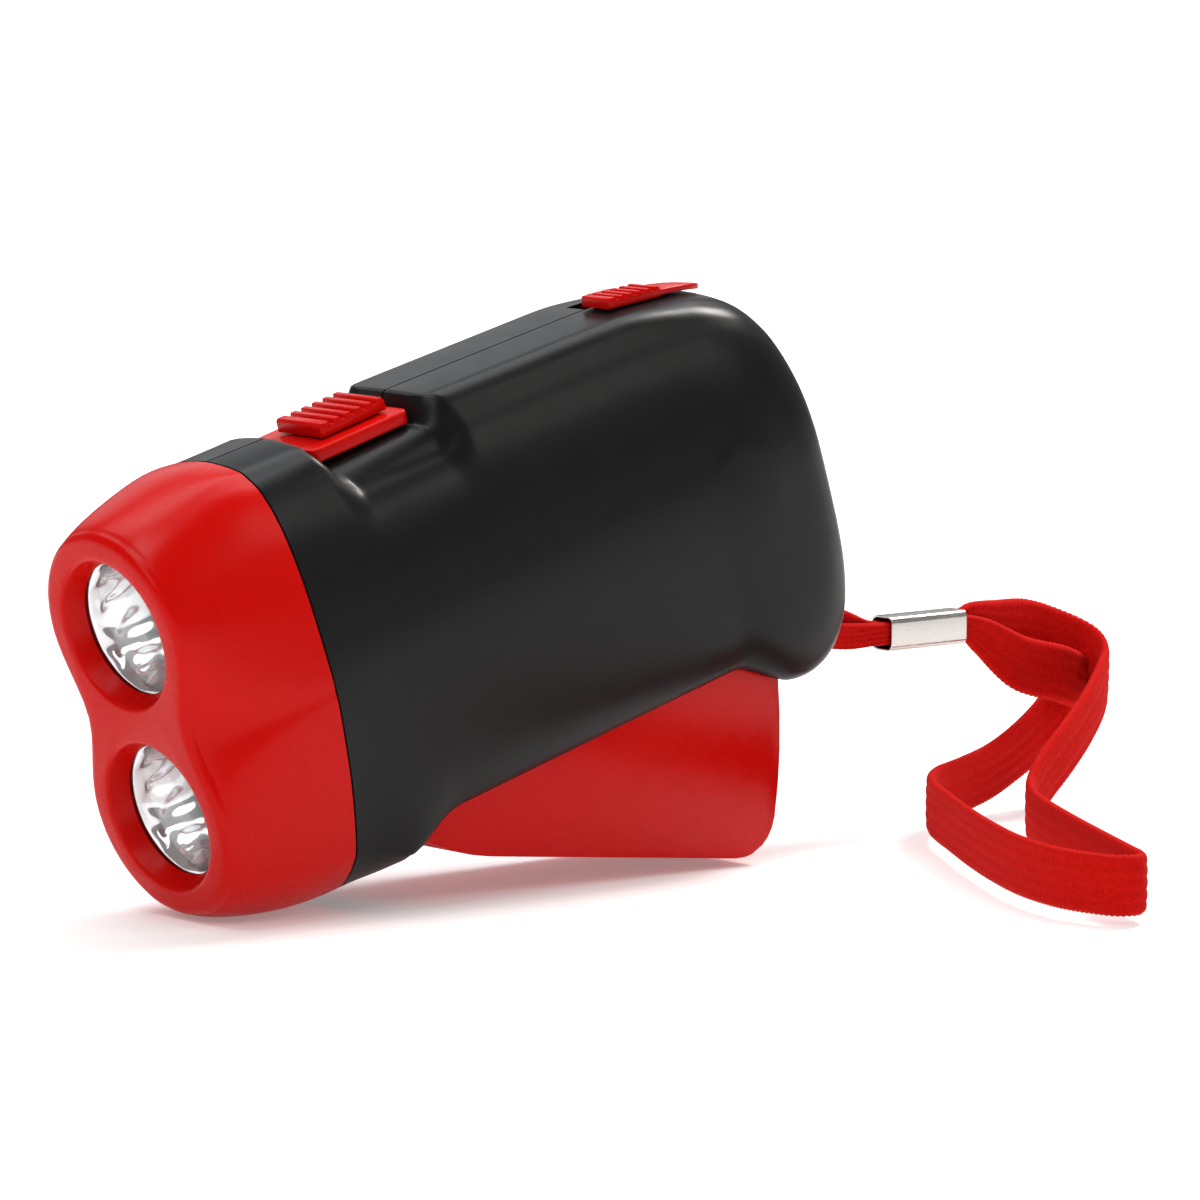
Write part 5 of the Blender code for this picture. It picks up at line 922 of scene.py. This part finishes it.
def switch_plate():
    """The slot is cut first, then the upright corners and at last all sharp edges are rounded."""
    middle = sum(PLATE_X) / 2
    low, high = zip(PLATE_X, (-PLATE_HALF_WIDTH, PLATE_HALF_WIDTH), PLATE_Z)
    plate = block("switch_bed", low, high)
    slot_x = [middle + x for x in PLATE_SLOT_X]
    low, high = zip(slot_x, (-PLATE_SLOT_HALF, PLATE_SLOT_HALF), PLATE_SLOT_Z)
    stem = block("stem_slot", low, high)
    combined(plate, stem, "DIFFERENCE")
    only(plate)
    bpy.ops.object.mode_set(mode="EDIT")
    bpy.ops.mesh.select_mode(type="EDGE")
    bpy.ops.mesh.select_all(action="DESELECT")
    bpy.ops.object.mode_set(mode="OBJECT")
    for edge in plate.data.edges:
        a, b = (plate.data.vertices[i].co for i in edge.vertices)
        edge.select = abs(a.z - b.z) > 1 * mm and abs(a.y) > PLATE_HALF_WIDTH / 2
    bpy.ops.object.mode_set(mode="EDIT")
    bpy.ops.mesh.bevel(offset=PLATE_CORNER, segments=6)
    bpy.ops.object.mode_set(mode="OBJECT")
    rounded(plate, 0.3 * mm, 3, radians(60.0))
    return fitted(plate, "red_plastic", "switch_plate")


def switch_button():
    outline = ribbed_outline(BUTTON_LENGTH, BUTTON_HEIGHT, BUTTON_RIB_DEPTH, BUTTON_RIBS, 0.0)
    outline = [(BUTTON_X + u, BUTTON_BASE_Z + v) for u, v in outline]
    button = extruded("thumb_slide", outline, -BUTTON_HALF_WIDTH, BUTTON_HALF_WIDTH)
    middle = BUTTON_X + BUTTON_LENGTH / 2
    rounded(button, 0.12 * mm, 2)
    half_x, half_y = BUTTON_STEM_HALF
    stem = block("stem", (middle - half_x, -half_y, BUTTON_STEM_LOW),
                 (middle + half_x, half_y, BUTTON_BASE_Z + BUTTON_STEM_LAP))
    only(button)
    stem.select_set(True)
    bpy.ops.object.join()
    return fitted(button, "red_plastic", "switch_button")


def lock_point(run, rise):
    """A point by its run along the lock and its rise above the deck."""
    base = deck_height(LOCK_X) + LOCK_LIFT
    x = LOCK_X + run * cos(LOCK_TILT) + rise * sin(LOCK_TILT)
    return x, base - run * sin(LOCK_TILT) + rise * cos(LOCK_TILT)


def lock_slab(name, runs, rises, low, high):
    corners = ((runs[0], rises[0]), (runs[0], rises[1]), (runs[1], rises[1]), (runs[1], rises[0]))
    return extruded(name, [lock_point(u, v) for u, v in corners], low, high)


def lock_slide():
    outline = ribbed_outline(LOCK_LENGTH, LOCK_HEIGHT, LOCK_RIB_DEPTH, LOCK_RIBS, LOCK_LEAD)
    low, high = LOCK_MIDDLE_Y - LOCK_HALF_WIDTH, LOCK_MIDDLE_Y + LOCK_HALF_WIDTH
    lock = extruded("lock_slide", [lock_point(u, v) for u, v in outline], low, high)
    sections = []
    for run_share, width_share, rise_share in LOCK_BEAK_SHARES:
        run = LOCK_LENGTH - LOCK_RIB_DEPTH + run_share * LOCK_BEAK_LENGTH
        droop = LOCK_DROOP * run_share**2
        top = mix(LOCK_BEAK_HEIGHT, LOCK_HEIGHT - LOCK_RIB_DEPTH, rise_share) - droop
        wide, base = LOCK_HALF_WIDTH * width_share, SEAM_HALF - droop
        shoulder, crown = top - LOCK_BEAK_EDGE, wide * LOCK_BEAK_CROWN_SHARE
        corners = ((-wide, base), (wide, base), (wide, shoulder), (crown, top), (-crown, top), (-wide, shoulder))
        sections.append([(lock_point(run, v)[0], y + LOCK_MIDDLE_Y, lock_point(run, v)[1]) for y, v in corners])
    combined(lock, loft("beak", sections), "UNION")
    rounded(lock, 0.08 * mm, 2)
    combined(lock, lock_slab("flange", *LOCK_FLANGE[::2], *LOCK_FLANGE[1]), "UNION")
    runs, (near, far) = LOCK_STEM
    combined(lock, lock_slab("stem", runs, (LOCK_FOOT_LOW, 0.35 * mm), near, far), "UNION")
    foot_runs = (runs[0] - LOCK_FOOT_OVER[0], runs[1] + LOCK_FOOT_OVER[1])
    foot_rises = (LOCK_FOOT_LOW, LOCK_FOOT_LOW + LOCK_FOOT_THICK)
    combined(lock, lock_slab("foot", foot_runs, foot_rises, -LOCK_FOOT_HALF, LOCK_FOOT_HALF), "UNION")
    start = runs[0] + LOCK_LEG_START
    under, inside = LOCK_FOOT_LOW - LOCK_LEG_UNDER, LOCK_FOOT_LOW + LOCK_LEG_INSIDE
    leg = [lock_point(start, inside), lock_point(start, under), lock_point(runs[1], under), *LOCK_LEG,
           lock_point(runs[1], inside)]
    combined(lock, extruded("leg", leg, -LOCK_LEG_HALF, LOCK_LEG_HALF), "UNION")
    return fitted(lock, "red_plastic", "lock_slider")


# Lever and ferrule

def merged_copy(node, name):
    """A copy of a node's mesh with its loose triangles merged and its flat faces made whole."""
    deselect()
    mesh = frame["nodes"][node].data.copy()
    mesh.name = name
    piece = bpy.data.objects.new(name, mesh)
    bpy.context.scene.collection.objects.link(piece)
    only(piece)
    bpy.ops.object.mode_set(mode="EDIT")
    bpy.ops.mesh.select_all(action="SELECT")
    bpy.ops.mesh.remove_doubles(threshold=0.002 * mm)
    bpy.ops.mesh.dissolve_limited(angle_limit=radians(0.5))
    bpy.ops.object.mode_set(mode="OBJECT")
    return piece


def lever():
    piece = merged_copy("squeeze_lever", "finger_lever")
    for vertex in piece.data.vertices:
        arm = vertex.co - HINGE
        arm.y = 0.0
        if arm.length > LEVER_END_START:
            vertex.co -= arm.normalized() * LEVER_DRAW_IN
    return fitted(piece, "red_plastic", "squeeze_lever", place=Matrix.Identity(4), angle=radians(50.0))


def corner_loop(half, radius, steps=8):
    points = []
    for quarter, (u, v) in enumerate(((1, 1), (-1, 1), (-1, -1), (1, -1))):
        centre = (u * (half[0] - radius), v * (half[1] - radius))
        points += arc(centre, radius, quarter * pi / 2, (quarter + 1) * pi / 2, steps)
    return points


def ferrule():
    """The pressed steel tube: an outer and an inner wall with rolled ends."""
    start = FERRULE_X + STRAP_SHIFT - FERRULE_LENGTH / 2
    lip = 0.1 * mm
    end, wall = FERRULE_LENGTH, FERRULE_WALL
    rows = ((0.0, wall - lip), (0.0, lip), (lip, 0.0), (end - lip, 0.0), (end, lip), (end, wall - lip),
            (end - lip, wall), (lip, wall))
    loops = []
    for run, inset in rows:
        half = [side - inset for side in FERRULE_HALF]
        loops.append([(start + run, y, FERRULE_Z + z) for y, z in corner_loop(half, FERRULE_ROUND - inset)])
    count = len(loops[0])
    faces = []
    for s in range(len(loops)):
        for i in range(count):
            a, b = s * count, (s + 1) % len(loops) * count
            faces.append((a + i, a + (i + 1) % count, b + (i + 1) % count, b + i))
    piece = from_faces("strap_clamp", [point for loop in loops for point in loop], faces)
    return fitted(piece, "steel", "strap_ferrule", place=Matrix.Identity(4))


def torch():
    housing_half("near_shell", -1.0, "left_housing")
    housing_half("far_shell", 1.0, "right_housing")
    head()
    for place, z in (("upper", LAMP_SPACING / 2), ("lower", -LAMP_SPACING / 2)):
        lens(f"{place}_glass", f"{place}_lens", z)
        reflector(f"{place}_cup", f"{place}_reflector", z)
        lamp(f"{place}_lamp", f"{place}_led", z)
    switch_plate()
    switch_button()
    lock_slide()
    lever()
    ferrule()


finish_nodes()
torch()
wrist_strap()
studio()
